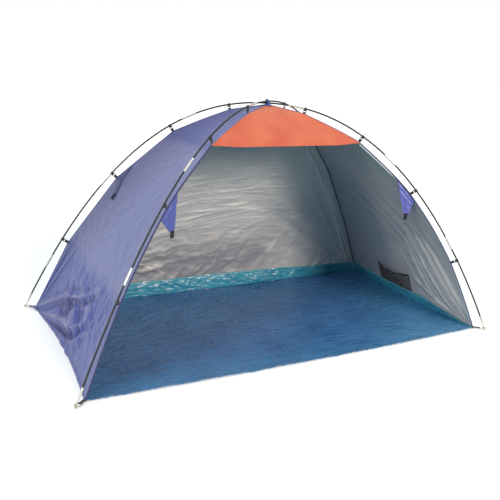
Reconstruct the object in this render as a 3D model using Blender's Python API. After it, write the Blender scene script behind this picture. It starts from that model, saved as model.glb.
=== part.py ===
"""Fishing tent: an open-fronted shelter of coated cloth, clipped under two crossed shock-corded poles.

Metres, +Z up. +X is the right hand of someone looking in at the open front, +Y is the back wall,
and the origin is on the ground under the crown, where the two poles cross.
"""
import math
from bisect import bisect_right

import bmesh
import bpy
from mathutils import Matrix, Vector

NAME = "fishing_tent"

# The pitched frame: the eyes of the four corner pins, and the curve of a leg between them and the crown
SPAN_X = 2.28
SPAN_Y = 1.20
POLE_TOP = 1.19
SHOULDER = 2.16
LEG_BOW = 0.036

# Poles: hollow fibreglass sections, steel ferrules over the joints, an elastic cord through the bore
POLE_D = 0.0085
POLE_BORE = 0.0050
SECTIONS = 7
SHORT_SECTION = 0.30
FERRULE_LENGTH = 0.080
FERRULE_WALL = 0.0007
FERRULE_STEP = 0.0004
SECTION_GAP = 0.0008
CORD_D = 0.0026
CORD_KNOT_D = 0.0042
CORD_FROM_END = 0.100
POLE_STEPS = 36

# Pole ends and corner pins
TIP_MOUTH = 0.040
TIP_NOSE = 0.016
TIP_NOSE_D = 0.0078
TIP_SLEEVE = 0.026
PIN_REACH = 0.092
PIN_PLAY = 0.0004
EYE_RADIUS = 0.0075

# Corner rings and their webbing
RING_RADIUS = 0.0150
RING_WIRE = 0.0035
RING_REACH = 0.058
CORNER_ANGLE = math.radians(42.0)
CORNER_WEB_WIDTH = 0.016
CORNER_WEB_THICK = 0.0013
CORNER_WEB_LAP = 0.010
CORNER_WEB_TAPER = 0.0051

# Cloth: cut, seams and how it hangs from the poles
CLOTH = 0.0016
CLIP_SHARES = (0.104, 0.286, 0.507, 0.757)
STANDOFF = 0.036
CROWN_DROP = 0.024
CROWN_VENT = 0.035
HEM_BOW = 0.030
HEM_BOW_FADE = 1.0
PANEL_SAG = 0.012
FOLD_DEPTH = 0.005
FOLD_ROWS = (0.3, 2.6)
SIDE_FOLDS = 3
BACK_FOLDS = 5
ROW_STEPS = (4, 3, 3, 2, 2)
SIDE_COLUMNS = 14
BACK_COLUMNS = 20
EAVE_COLUMNS = 8
EAVE_OVERHANG = 0.012
BINDING_WIDTH = 0.009

# Groundsheet and the upstand round its inside
FLOOR_THICK = 0.0015
STRIP_HEIGHT = 0.066
STRIP_THICK = 0.0010

# Mesh pockets on the insides of both side walls
POCKET_FRONT = -0.095
POCKET_LENGTH = 0.300
POCKET_HEIGHT = 0.110
POCKET_SLACK = 0.024
POCKET_SWELL = 0.8
POCKET_THICK = 0.0008
POCKET_LIFT = 0.0010
POCKET_COLUMNS = 10
POCKET_ROWS = 4
MOUTH_SAG = 0.016
MOUTH_BAND = 0.009
MOUTH_BAND_THICK = 0.0020

# Guy-out tabs at the third clip of each leg
TAB_ABOVE_CLIP = 0.112
TAB_BELOW_CLIP = 0.045
TAB_DROP = 0.142
TAB_END_WIDTH = 0.026
TAB_THICK = 0.0012
TAB_WEB_WIDTH = 0.020
TAB_WEB_LENGTH = 0.034
TAB_WEB_THICK = 0.0026
TAB_WEB_LAP = 0.008
BACK_TAB_START = 0.012
BACK_TAB_LEAN = 0.030
TAB_LIFT = 0.0020

# Pole clips and the webbing that sews them to the seams
CLIP_WALL = 0.0022
CLIP_LENGTH = 0.011
CLIP_SPACE = 0.002
CLIP_STRAIGHT = 0.018
CLIP_FIT = 0.00045
CLIP_OPENING = math.radians(95.0)
CLIP_TURN = math.radians(20.0)
CLIP_PLATE_WIDTH = 0.0190
CLIP_PLATE_THICK = 0.0030
CLIP_BAR_DEPTH = 0.0185
CLIP_BAR = 0.0026
CLIP_SLOT_HEIGHT = 0.0050
CLIP_WEB_WIDTH = 0.0145
CLIP_WEB_THICK = 0.0009

# Tie over the crossing
TIE_WIDTH = 0.012
TIE_THICK = 0.0014
TIE_KNOT = (0.009, 0.007, 0.006)
TIE_TAIL = 0.030
TIE_TAIL_D = 0.0050
TIE_STEM_WIDTH = 0.0096
TIE_DISC = 0.014

# Clearances between pieces that touch, and between cloth edges along a seam, and how far a cutter overruns
FIT = 0.0003
SEAM_GAP = 0.00025
OVERRUN = 0.01

UP = Vector((0, 0, 1))
LEFT, RIGHT, FRONT, BACK = -1, 1, -1, 1
CORNERS = {
    "front_left": (LEFT, FRONT),
    "front_right": (RIGHT, FRONT),
    "back_left": (LEFT, BACK),
    "back_right": (RIGHT, BACK),
}
PIN_D = POLE_BORE - 2 * PIN_PLAY
EYE_Z = EYE_RADIUS + PIN_D / 2 + FIT
CROSSING = (POLE_D + FIT) / 2
CROWNS = {"a": POLE_TOP + CROSSING, "b": POLE_TOP - CROSSING}
CLOTH_CROWN = Vector((0, 0, POLE_TOP - CROWN_DROP))


# Scene, finishes and small mesh tools

def empty_scene():
    for obj in list(bpy.data.objects):
        bpy.data.objects.remove(obj, do_unlink=True)


def make_collection(name):
    collection = bpy.data.collections.new(name)
    bpy.context.scene.collection.children.link(collection)
    return collection


def finish(name, colour, roughness, metallic=0.0):
    made = bpy.data.materials.new(name)
    made.use_nodes = True
    shader = made.node_tree.nodes["Principled BSDF"]
    shader.inputs["Base Color"].default_value = (*colour, 1.0)
    shader.inputs["Roughness"].default_value = roughness
    shader.inputs["Metallic"].default_value = metallic
    made.diffuse_color = (*colour, 1.0)
    return made


def copy_of(base, name):
    made = base.copy()
    made.name = name
    return made


def add_piece(name, data, material, pivot=None):
    """Link a piece modelled in world coordinates, with its origin on its joint's axis where it moves."""
    if pivot is not None:
        data.transform(Matrix.Translation(-pivot))
    piece = bpy.data.objects.new(name, data)
    piece.data.materials.clear()
    piece.data.materials.append(copy_of(material, name))
    if pivot is not None:
        piece.location = pivot
    TENT.objects.link(piece)
    return piece


def loose(name, data):
    obj = bpy.data.objects.new(name, data)
    TOOLS.objects.link(obj)
    obj.hide_render = True
    obj.display_type = 'WIRE'
    return obj


def baked(obj):
    """The evaluated mesh of a tool object, welded, in world coordinates; the tool object goes."""
    bpy.context.view_layer.update()
    depsgraph = bpy.context.evaluated_depsgraph_get()
    mesh = bpy.data.meshes.new_from_object(obj.evaluated_get(depsgraph))
    mesh.transform(obj.matrix_world)
    shape = bmesh.new()
    shape.from_mesh(mesh)
    bmesh.ops.remove_doubles(shape, verts=shape.verts, dist=0.00001)
    shape.to_mesh(mesh)
    shape.free()
    bpy.data.objects.remove(obj, do_unlink=True)
    return mesh


def placed(mesh, matrix):
    made = mesh.copy()
    made.transform(matrix)
    return made


def combined(operation, base, *others):
    """Boolean the other meshes into or out of the base mesh."""
    body = loose("body", base)
    tools = [loose("tool", other) for other in others]
    for tool in tools:
        step = body.modifiers.new("Boolean", 'BOOLEAN')
        step.operation = operation
        step.solver = 'EXACT'
        step.object = tool
    mesh = baked(body)
    for tool in tools:
        bpy.data.objects.remove(tool, do_unlink=True)
    return mesh


def smooth_round(mesh, angle=40.0):
    mesh.shade_smooth()
    mesh.set_sharp_from_angle(angle=math.radians(angle))
    return mesh


def box_mesh(size, centre=(0, 0, 0)):
    shape = bmesh.new()
    bmesh.ops.create_cube(shape, size=1.0)
    bmesh.ops.scale(shape, verts=shape.verts, vec=size)
    bmesh.ops.translate(shape, verts=shape.verts, vec=centre)
    mesh = bpy.data.meshes.new("box")
    shape.to_mesh(mesh)
    shape.free()
    return mesh


def cylinder_mesh(radius, low, high, sides):
    shape = bmesh.new()
    bmesh.ops.create_cone(shape, cap_ends=True, segments=sides, radius1=radius, radius2=radius,
                          depth=high - low)
    bmesh.ops.translate(shape, verts=shape.verts, vec=(0, 0, (high + low) / 2))
    mesh = bpy.data.meshes.new("cylinder")
    shape.to_mesh(mesh)
    shape.free()
    return mesh


def torus_mesh(radius, wire, around, sides):
    bpy.ops.mesh.primitive_torus_add(major_radius=radius, minor_radius=wire / 2,
                                     major_segments=around, minor_segments=sides)
    torus = bpy.context.active_object
    mesh = torus.data.copy()
    bpy.data.objects.remove(torus, do_unlink=True)
    return mesh


def plate_mesh(outlines, thickness):
    """A flat plate in the XY plane, half its thickness each side; outlines after the first are holes."""
    curve = bpy.data.curves.new("outline", 'CURVE')
    curve.dimensions = '2D'
    curve.fill_mode = 'BOTH'
    curve.extrude = thickness / 2
    for outline in outlines:
        spline = curve.splines.new('POLY')
        spline.points.add(len(outline) - 1)
        for point, (x, y) in zip(spline.points, outline):
            point.co = (x, y, 0.0, 1.0)
        spline.use_cyclic_u = True
    return baked(loose("plate", curve))


def bar_mesh(points, radii, resolution=2):
    """A round bar through points, with the radius at each point."""
    curve = bpy.data.curves.new("bar", 'CURVE')
    curve.dimensions = '3D'
    curve.bevel_depth = 1.0
    curve.bevel_resolution = resolution
    curve.twist_mode = 'Z_UP'
    curve.use_fill_caps = True
    spline = curve.splines.new('POLY')
    spline.points.add(len(points) - 1)
    for point, place, radius in zip(spline.points, points, radii):
        point.co = (*place, 1.0)
        point.radius = radius
    return baked(loose("bar", curve))


def sheet_mesh(name, outer_rows, inner_rows):
    """A closed loft between two grids of points, the outer face and the inner face of a sheet."""
    rows, columns = len(outer_rows), len(outer_rows[0])
    shape = bmesh.new()
    outer = [[shape.verts.new(point) for point in row] for row in outer_rows]
    inner = [[shape.verts.new(point) for point in row] for row in inner_rows]
    for face in (outer, inner):
        for i in range(rows - 1):
            for j in range(columns - 1):
                shape.faces.new((face[i][j], face[i][j + 1], face[i + 1][j + 1]))
                shape.faces.new((face[i][j], face[i + 1][j + 1], face[i + 1][j]))
    rim = [(0, j) for j in range(columns)] + [(i, columns - 1) for i in range(1, rows)]
    rim += [(rows - 1, j) for j in range(columns - 2, -1, -1)] + [(i, 0) for i in range(rows - 2, 0, -1)]
    for (i, j), (k, l) in zip(rim, rim[1:] + rim[:1]):
        shape.faces.new((outer[i][j], outer[k][l], inner[k][l], inner[i][j]))
    bmesh.ops.recalc_face_normals(shape, faces=shape.faces)
    mesh = bpy.data.meshes.new(name)
    shape.to_mesh(mesh)
    shape.free()
    return smooth_round(mesh, 30.0)


def spaced(low, high, count):
    return [low + (high - low) * i / count for i in range(count + 1)]


def arc(radius, start, stop, count):
    return [(radius * math.cos(a), radius * math.sin(a)) for a in spaced(start, stop, count)]


# Legs and poles

def leg_point(side, end, share, crown=POLE_TOP):
    """The centre line of a leg: share 0 is the crown and share 1 the eye of its corner pin."""
    x = side * share * SPAN_X / 2
    y = end * (share * SPAN_Y / 2 + 4 * LEG_BOW * share * (1 - share))
    z = EYE_Z + (crown - EYE_Z) * (1 - share ** SHOULDER)
    return Vector((x, y, z))


def leg_frame(side, end, share, crown=POLE_TOP):
    """Where a clip sits on a leg: the middle of a short straight stretch, and its way down and out."""
    nudge = clip_nudge(share)
    above, below = (leg_point(side, end, share + shift, crown) for shift in (-nudge, nudge))
    down = (below - above).normalized()
    return (above + below) / 2, down, (UP - down * down.z).normalized()


def clip_nudge(share, step=0.001):
    """Half of a clip's straight stretch of leg, in shares of the span."""
    run = (leg_point(RIGHT, BACK, share + step) - leg_point(RIGHT, BACK, share - step)).length
    return CLIP_STRAIGHT / 2 * (2 * step) / run


def pole_of(side, end):
    return "a" if side == end else "b"


class Route:
    """A pole's centre line, addressed by the distance from its front eye."""

    def __init__(self, front_side, crown, clips=()):
        bends = [1 - share / POLE_STEPS * 2 for share in range(POLE_STEPS // 2)]
        for clip in clips:
            nudge = clip_nudge(clip)
            bends = [share for share in bends if abs(share - clip) > 2 * nudge]
            bends += [clip + nudge, clip - nudge]
        bends.sort(reverse=True)
        self.points = [leg_point(front_side, FRONT, share, crown) for share in bends]
        self.points.append(Vector((0, 0, crown)))
        self.points += [leg_point(-front_side, BACK, share, crown) for share in reversed(bends)]
        self.marks = [0.0]
        for first, second in zip(self.points, self.points[1:]):
            self.marks.append(self.marks[-1] + (second - first).length)
        self.length = self.marks[-1]

    def at(self, distance):
        index = min(max(bisect_right(self.marks, distance) - 1, 0), len(self.points) - 2)
        part = (distance - self.marks[index]) / (self.marks[index + 1] - self.marks[index])
        return self.points[index].lerp(self.points[index + 1], part)

    def joints(self):
        full = (self.length - SHORT_SECTION) / (SECTIONS - 1)
        return [full * count for count in range(1, SECTIONS)]

    def bar(self, profile, clear=0.003):
        """A round bar along the route from (distance, radius) pairs, bending where the route bends."""
        stations = []
        for (start, low), (stop, high) in zip(profile, profile[1:]):
            stations.append((start, low))
            stations += [(mark, low + (high - low) * (mark - start) / (stop - start))
                         for mark in self.marks if start + clear < mark < stop - clear]
        stations.append(profile[-1])
        return bar_mesh([self.at(mark) for mark, _ in stations], [radius for _, radius in stations])


def make_pole(letter, front_side):
    """Sections that plug into each other: each has its ferrule bonded on, and the end ones their tips."""
    route = Route(front_side, CROWNS[letter], CLIP_SPANS)
    tube, bore = POLE_D / 2, POLE_BORE / 2
    socket = tube + FIT
    sleeve = socket + FERRULE_WALL
    step, half = FERRULE_STEP, FERRULE_LENGTH / 2
    nose_end, sleeve_end = TIP_MOUTH + TIP_NOSE, TIP_MOUTH + TIP_NOSE + TIP_SLEEVE
    joints = route.joints()
    for number in range(1, SECTIONS + 1):
        if number == 1:
            start = TIP_MOUTH
            outside = [(start, TIP_NOSE_D / 2), (nose_end, TIP_NOSE_D / 2), (nose_end + step, sleeve),
                       (sleeve_end, sleeve), (sleeve_end + step, tube)]
        else:
            start = joints[number - 2] + SECTION_GAP / 2
            outside = [(start, tube)]
        inside = [(start - OVERRUN, bore)]
        if number == SECTIONS:
            stop = route.length - TIP_MOUTH
            outside += [(route.length - distance, radius) for distance, radius in
                        ((sleeve_end + step, tube), (sleeve_end, sleeve), (nose_end + step, sleeve),
                         (nose_end, TIP_NOSE_D / 2), (TIP_MOUTH, TIP_NOSE_D / 2))]
            inside += [(stop + OVERRUN, bore)]
        else:
            joint = joints[number - 1]
            tube_end, stop = joint - SECTION_GAP / 2, joint + half
            outside += [(joint - half, tube), (joint - half + step, sleeve), (stop, sleeve)]
            inside += [(tube_end, bore), (tube_end + step, socket), (stop + OVERRUN, socket)]
        section = combined('DIFFERENCE', route.bar(outside), route.bar(inside))
        add_piece(f"pole_{letter}_section_{number}", smooth_round(section), FIBREGLASS)

    start, stop = CORD_FROM_END, route.length - CORD_FROM_END
    knot, thin = CORD_KNOT_D / 2, CORD_D / 2
    cord = route.bar([(start, knot), (start + CORD_KNOT_D, thin), (stop - CORD_KNOT_D, thin), (stop, knot)])
    add_piece(f"pole_{letter}_shock_cord", smooth_round(cord), ELASTIC)


# Corner pins, rings and webbing

def corner_pull(side, end):
    """Level direction in which a corner ring pulls, from the cloth corner to the pin."""
    return Vector((side * math.cos(CORNER_ANGLE), end * math.sin(CORNER_ANGLE), 0))


def pin_matrix(side, end):
    """Local Z runs up the pole from the eye, and local Y is the axis of the eye."""
    crown = CROWNS[pole_of(side, end)]
    foot = leg_point(side, end, 1.0, crown)
    axis = (leg_point(side, end, 1.0 - 2.0 / POLE_STEPS, crown) - foot).normalized()
    across = axis.cross(corner_pull(side, end)).normalized()
    matrix = Matrix((across.cross(axis), across, axis)).transposed().to_4x4()
    matrix.translation = foot
    return matrix


def ring_centre(side, end):
    return leg_point(side, end, 1.0) - corner_pull(side, end) * RING_RADIUS


def cloth_corner(side, end):
    corner = leg_point(side, end, 1.0) - corner_pull(side, end) * RING_REACH
    corner.z = 0.0
    return corner


def make_corner(corner, side, end):
    eye = torus_mesh(EYE_RADIUS, PIN_D, 14, 8)
    eye.transform(Matrix.Rotation(math.radians(90), 4, 'X'))
    shank = cylinder_mesh(PIN_D / 2, EYE_RADIUS, PIN_REACH, 10)
    pin = placed(combined('UNION', eye, shank), pin_matrix(side, end))
    add_piece(f"corner_pin_{corner}", smooth_round(pin), STEEL, leg_point(side, end, 1.0))

    centre = ring_centre(side, end)
    ring = placed(torus_mesh(RING_RADIUS, RING_WIRE, 20, 8), Matrix.Translation(centre))
    add_piece(f"corner_ring_{corner}", smooth_round(ring), STEEL, centre)

    pull = corner_pull(side, end)
    room = RING_WIRE / 2 + 2 * FIT
    shell, ply = room + CORNER_WEB_THICK, CORNER_WEB_THICK
    near, taper = -RING_RADIUS, -RING_RADIUS - CORNER_WEB_TAPER
    far = -math.sqrt(RING_RADIUS ** 2 - (CORNER_WEB_WIDTH / 2) ** 2)
    tail = RING_RADIUS - RING_REACH - CORNER_WEB_LAP
    quarter = math.pi / 2
    hole = [(far + x, y) for x, y in arc(room, -quarter, quarter, 5)]
    hole += [(near + x, y) for x, y in arc(room, quarter, 3 * quarter, 5)]
    outline = [(far + x, y) for x, y in arc(shell, -quarter, quarter, 5)]
    outline += [(near, shell), (taper, ply), (tail, ply), (tail, -ply), (taper, -ply), (near, -shell)]
    frame = Matrix((pull, UP, pull.cross(UP))).transposed().to_4x4()
    frame.translation = centre
    web = placed(plate_mesh([outline, hole], CORNER_WEB_WIDTH), frame)
    add_piece(f"corner_webbing_{corner}", combined('DIFFERENCE', web, corner_block(side, end)), BLACK_WEBBING)


def corner_block(side, end):
    """The space behind a corner of the walls, leaning with its seam, for cutting what is sewn on outside."""
    reach = 8 * CORNER_WEB_LAP
    upward = seam_run(side, end, 0.5)[1]
    lean = Matrix(((1, 0, upward.x / upward.z), (0, 1, upward.y / upward.z), (0, 0, 1))).to_4x4()
    lean.translation = cloth_corner(side, end)
    centre = (side * (FIT - reach / 2), end * (FIT - reach / 2), 0.0)
    return placed(box_mesh((reach, reach, reach), centre), lean)


# The canopy's surface: seams from corner to crown, and ruled panels between them

def clip_spans():
    """The share of the span at each clip, moved along the leg to where no leg has a ferrule."""
    route = Route(RIGHT, POLE_TOP)
    leg = route.length / 2
    room = FERRULE_LENGTH / 2 + FERRULE_STEP + CLIP_LENGTH / 2 + CLIP_SPACE
    ferrules = [abs(leg - mark) for mark in route.joints()]
    spans = []
    for share in CLIP_SHARES:
        wanted = share * leg
        places = [wanted] + [ferrule + way * room for ferrule in ferrules for way in (-1, 1)]
        clear = [place for place in places
                 if 0 < place < leg and all(abs(place - ferrule) > room - FIT for ferrule in ferrules)]
        nearest = min(clear, key=lambda place: abs(place - wanted))
        spans.append(leg_point_share(route.at(leg + nearest)))
    return spans


def leg_point_share(point):
    return abs(point.x) / (SPAN_X / 2)


CLIP_SPANS = clip_spans()


def clip_knot(side, end, share):
    """The point of a seam that a clip holds, straight in from the leg's centre line."""
    place, _, out = leg_frame(side, end, share)
    drop = min(STANDOFF, CROWN_DROP + (STANDOFF - CROWN_DROP) * share / CLIP_SPANS[1])
    return place - out * drop


SEAMS = {
    (side, end): [cloth_corner(side, end), *(clip_knot(side, end, share) for share in CLIP_SPANS[::-1]),
                  CLOTH_CROWN]
    for side, end in CORNERS.values()
}
TOP_ROW = len(CLIP_SPANS) + 1 - CROWN_VENT
TAB_KNOT = len(CLIP_SPANS) - 2
EAVE_KNOT = len(CLIP_SPANS) - 1


def seam_run(side, end, row):
    """A seam's point at a row, and its upward direction there. Whole rows are the knots."""
    knots = SEAMS[side, end]
    chord = min(int(row), len(knots) - 2)
    part = row - chord
    upward = (knots[chord + 1] - knots[chord]).normalized()
    if part == 0 and chord > 0:
        upward = (upward + (knots[chord] - knots[chord - 1]).normalized()).normalized()
    return knots[chord].lerp(knots[chord + 1], part), upward


def seam_row_from(side, end, knot, distance):
    """The row at a distance up a seam from a knot, or down it where the distance is negative."""
    knots = SEAMS[side, end]
    chord = knot if distance > 0 else knot - 1
    return knot + distance / (knots[chord + 1] - knots[chord]).length


def settled(offset, upward, row):
    """Slide an offset along the cloth so that the bottom edge stays on the ground."""
    return offset - upward * (offset.z / upward.z) * max(0.0, 1.0 - row)


def seam_point(side, end, row, depth=0.0):
    """A point of a seam on the surface at a depth inside the canopy's outer face."""
    point, upward = seam_run(side, end, row)
    side_face = Vector((side * upward.z, 0, -side * upward.x)).normalized()
    end_face = Vector((0, end * upward.z, -end * upward.y)).normalized()
    inset = (side_face + end_face) * (-depth / (1 + side_face.dot(end_face)))
    return point + settled(inset, upward, row)


def give(kind, sign, row, across):
    """How far the cloth lies inside the flat surface between its seams."""
    bow = 4 * across * (1 - across)
    if (kind, sign) == ("end", FRONT):
        return 0.0
    amount = HEM_BOW * bow * max(0.0, 1 - row) ** HEM_BOW_FADE
    amount += PANEL_SAG * bow * math.sin(math.pi * row / TOP_ROW)
    low, high = FOLD_ROWS
    if low < row < high:
        folds = SIDE_FOLDS if kind == "side" else BACK_FOLDS
        swell = math.sin(math.pi * (row - low) / (high - low)) * math.sin(math.pi * across)
        amount += FOLD_DEPTH * swell * math.sin(2 * math.pi * folds * across)
    return amount


def canopy_point(kind, sign, row, across, depth=0.0):
    """A point of a side panel, front to back, or an end panel, left to right."""
    if kind == "side":
        first, last = (sign, FRONT), (sign, BACK)
    else:
        first, last = (LEFT, sign), (RIGHT, sign)
    low = seam_point(*first, row, depth)
    high = seam_point(*last, row, depth)
    along = (high - low).normalized()
    low += along * SEAM_GAP
    high -= along * SEAM_GAP
    upward = seam_run(*first, row)[1]
    upward = (upward - along * upward.dot(along)).normalized()
    inward = along.cross(upward).normalized()
    inward *= -1 if inward.z > 0 else 1
    return low.lerp(high, across) + settled(inward * give(kind, sign, row, across), upward, row)


def row_at(height):
    knots = SEAMS[RIGHT, BACK]
    for chord, (low, high) in enumerate(zip(knots, knots[1:])):
        if height <= high.z:
            return chord + (height - low.z) / (high.z - low.z)
    return TOP_ROW


def across_at(kind, sign, row, place):
    """The share across a panel at which a row passes a world place along the panel."""
    axis = 1 if kind == "side" else 0
    low = canopy_point(kind, sign, row, 0.0)[axis]
    high = canopy_point(kind, sign, row, 1.0)[axis]
    return (place - low) / (high - low)


def on_side(sign, place, height, depth):
    """The point of a side wall at a Y and a height, at a depth inside the outer face."""
    row = row_at(height)
    return canopy_point("side", sign, row, across_at("side", sign, row, place), depth)


def rows_between(first, last, clear=0.02):
    rows = []
    for chord, steps in enumerate(ROW_STEPS):
        rows += [chord + step / steps for step in range(steps)]
    inside = [row for row in rows if first + clear < row < last - clear]
    return [first, *inside, last]


def panel_mesh(name, kind, sign, rows, columns):
    """A panel of cloth. The columns run round the tent from the front left corner to the front right."""
    stations = spaced(0.0, 1.0, columns)
    if (kind, sign) == ("side", RIGHT):
        stations.reverse()
    faces = [[[canopy_point(kind, sign, row, across, depth) for across in stations] for row in rows]
             for depth in (0.0, CLOTH)]
    return sheet_mesh(name, *faces)


# Cloth panels

def make_walls():
    rows = [0.0, *rows_between(row_at(STRIP_HEIGHT), TOP_ROW)]
    for name, kind, sign, columns in (("left_wall", "side", LEFT, SIDE_COLUMNS),
                                      ("right_wall", "side", RIGHT, SIDE_COLUMNS),
                                      ("back_wall", "end", BACK, BACK_COLUMNS)):
        add_piece(name, panel_mesh(name, kind, sign, rows, columns), CANOPY)
    rows = rows_between(seam_row_from(RIGHT, FRONT, EAVE_KNOT, -EAVE_OVERHANG), TOP_ROW)
    add_piece("eave_panel", panel_mesh("eave_panel", "end", FRONT, rows, EAVE_COLUMNS), EAVE)

    lowest = row_at(FLOOR_THICK + 2 * CLOTH)
    highest = seam_row_from(RIGHT, FRONT, EAVE_KNOT, -EAVE_OVERHANG - FIT)
    rows = rows_between(lowest, highest)
    for name, side in (("left", LEFT), ("right", RIGHT)):
        faces = []
        for depth in (0.0, CLOTH):
            face = []
            for row in rows:
                start = seam_point(side, FRONT, row, depth) - Vector((side * SEAM_GAP, 0, 0))
                face.append([start, start - Vector((side * BINDING_WIDTH, 0, 0))])
            faces.append(face)
        add_piece(f"front_binding_{name}", sheet_mesh("binding", *faces), BINDING)


def tub_row(height, depth):
    """One level of the walls' inside: back along the left wall, across the back, and forward again."""
    row = row_at(height)
    sides, back = spaced(0.0, 1.0, SIDE_COLUMNS), spaced(0.0, 1.0, BACK_COLUMNS)
    points = [canopy_point("side", LEFT, row, across, depth) for across in sides[:-1]]
    points.append(seam_point(LEFT, BACK, row, depth))
    points += [canopy_point("end", BACK, row, across, depth) for across in back[1:-1]]
    points.append(seam_point(RIGHT, BACK, row, depth))
    points += [canopy_point("side", RIGHT, row, across, depth) for across in sides[-2::-1]]
    return points


def make_floor():
    outline = [(point.x, point.y) for point in tub_row(FLOOR_THICK, CLOTH + FIT)]
    sheet = plate_mesh([outline], FLOOR_THICK)
    sheet.transform(Matrix.Translation((0, 0, FLOOR_THICK / 2)))
    add_piece("floor_sheet", sheet, GROUNDSHEET)

    faces = [[tub_row(height, depth) for height in (FLOOR_THICK + FIT, STRIP_HEIGHT)]
             for depth in (CLOTH + FIT, CLOTH + FIT + STRIP_THICK)]
    add_piece("floor_upstand", sheet_mesh("upstand", *faces), UPSTAND)


def pocket_point(side, along, up, depth):
    """A point of a mesh pocket: along from its front end, up from its bottom edge to its mouth."""
    bottom = STRIP_HEIGHT + 2 * SEAM_GAP
    reach = POCKET_HEIGHT - MOUTH_SAG * math.sin(math.pi * along)
    bulge = POCKET_SLACK * math.sin(math.pi * along) * up ** POCKET_SWELL
    place = POCKET_FRONT + POCKET_LENGTH * along
    return on_side(side, place, bottom + reach * up, CLOTH + POCKET_LIFT + bulge + depth)


def make_pockets():
    columns = spaced(0.0, 1.0, POCKET_COLUMNS)
    for name, side in (("left", LEFT), ("right", RIGHT)):
        faces = [[[pocket_point(side, along, up, depth) for along in columns]
                  for up in spaced(0.0, 1.0, POCKET_ROWS)] for depth in (0.0, POCKET_THICK)]
        net = sheet_mesh("net", *faces)
        edge = MOUTH_BAND / POCKET_HEIGHT
        lap = (MOUTH_BAND_THICK - POCKET_THICK) / 2
        faces = [[[pocket_point(side, along, up, depth) for along in columns]
                  for up in (1.0 - edge / 2, 1.0 + edge / 2)] for depth in (lap / 2, MOUTH_BAND_THICK)]
        band = sheet_mesh("band", *faces)
        add_piece(f"mesh_pocket_{name}", combined('UNION', net, band), NET)


# Guy-out tabs

def make_front_tab(corner, side):
    """A cloth tab that hangs from the front seam, in the upright plane through its sewn edge."""
    inset = 2 * CLOTH
    upper = seam_point(side, FRONT, seam_row_from(side, FRONT, TAB_KNOT, TAB_ABOVE_CLIP), inset)
    lower = seam_point(side, FRONT, seam_row_from(side, FRONT, TAB_KNOT, -TAB_BELOW_CLIP), inset)
    level = Vector((lower.x - upper.x, lower.y - upper.y, 0))
    run, fall = level.length, lower.z - upper.z
    middle = run / 2
    end = fall / 2 - TAB_DROP
    half = TAB_END_WIDTH / 2
    pivot = (upper + lower) / 2
    frame = Matrix((level.normalized(), UP, level.normalized().cross(UP))).transposed().to_4x4()
    frame.translation = upper
    outline = [(0, 0), (middle - half, end), (middle + half, end), (run, fall)]
    cloth = plate_mesh([outline], TAB_THICK)
    half = TAB_WEB_WIDTH / 2
    top = end + TAB_WEB_LAP
    outline = [(middle - half, top), (middle - half, top - TAB_WEB_LENGTH),
               (middle + half, top - TAB_WEB_LENGTH), (middle + half, top)]
    web = plate_mesh([outline], TAB_WEB_THICK)
    add_piece(f"guy_tab_{corner}", placed(combined('UNION', cloth, web), frame), CANOPY, pivot)
    return pivot, (upper - lower).normalized()


def make_back_tab(corner, side):
    """A cloth tab that hangs from the back seam and lies on the outside of the side wall."""
    edge = 2 * CLOTH
    ends = []
    for distance in (BACK_TAB_START, TAB_ABOVE_CLIP):
        point = seam_run(side, BACK, seam_row_from(side, BACK, TAB_KNOT, distance))[0]
        ends.append((point.y - edge, point.z))
    middle = [(ends[0][k] + ends[1][k]) / 2 for k in (0, 1)]
    knots = SEAMS[side, BACK]
    face = Vector((0, knots[TAB_KNOT - 1].x - knots[TAB_KNOT].x, knots[TAB_KNOT - 1].z - knots[TAB_KNOT].z))
    steepness = abs(face.z) / face.length
    low = middle[1] - TAB_DROP * steepness

    def grid(base, tip, width, columns, rows, depth):
        """Rows from a base line, given by its two ends, to a level line of a width below it."""
        points = []
        for down in spaced(0.0, 1.0, rows):
            row = []
            for share in spaced(0.0, 1.0, columns):
                start = [base[0][k] + (base[1][k] - base[0][k]) * share for k in (0, 1)]
                stop = (tip[0] + width * (0.5 - share), tip[1])
                row.append(on_side(side, start[0] + (stop[0] - start[0]) * down,
                                   start[1] + (stop[1] - start[1]) * down, depth))
            points.append(row)
        return points

    tip = (middle[0] - BACK_TAB_LEAN, low)
    faces = [grid(ends, tip, TAB_END_WIDTH, 4, 8, depth) for depth in (-TAB_LIFT - TAB_THICK, -TAB_LIFT)]
    cloth = sheet_mesh("tab", *faces)
    pivot = sum((on_side(side, *end, -TAB_LIFT) for end in ends), Vector()) / 2

    top = low + TAB_WEB_LAP * steepness
    base = [(tip[0] + TAB_WEB_WIDTH / 2, top), (tip[0] - TAB_WEB_WIDTH / 2, top)]
    bottom = (tip[0], top - TAB_WEB_LENGTH * steepness)
    low_face = -TAB_LIFT - TAB_THICK / 4
    faces = [grid(base, bottom, TAB_WEB_WIDTH, 2, 2, depth) for depth in (low_face - TAB_WEB_THICK, low_face)]
    tab = combined('UNION', cloth, sheet_mesh("webbing", *faces))
    add_piece(f"guy_tab_{corner}", tab, CANOPY, pivot)
    return pivot, (on_side(side, *ends[1], -TAB_LIFT) - on_side(side, *ends[0], -TAB_LIFT)).normalized()


# Pole clips

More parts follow.
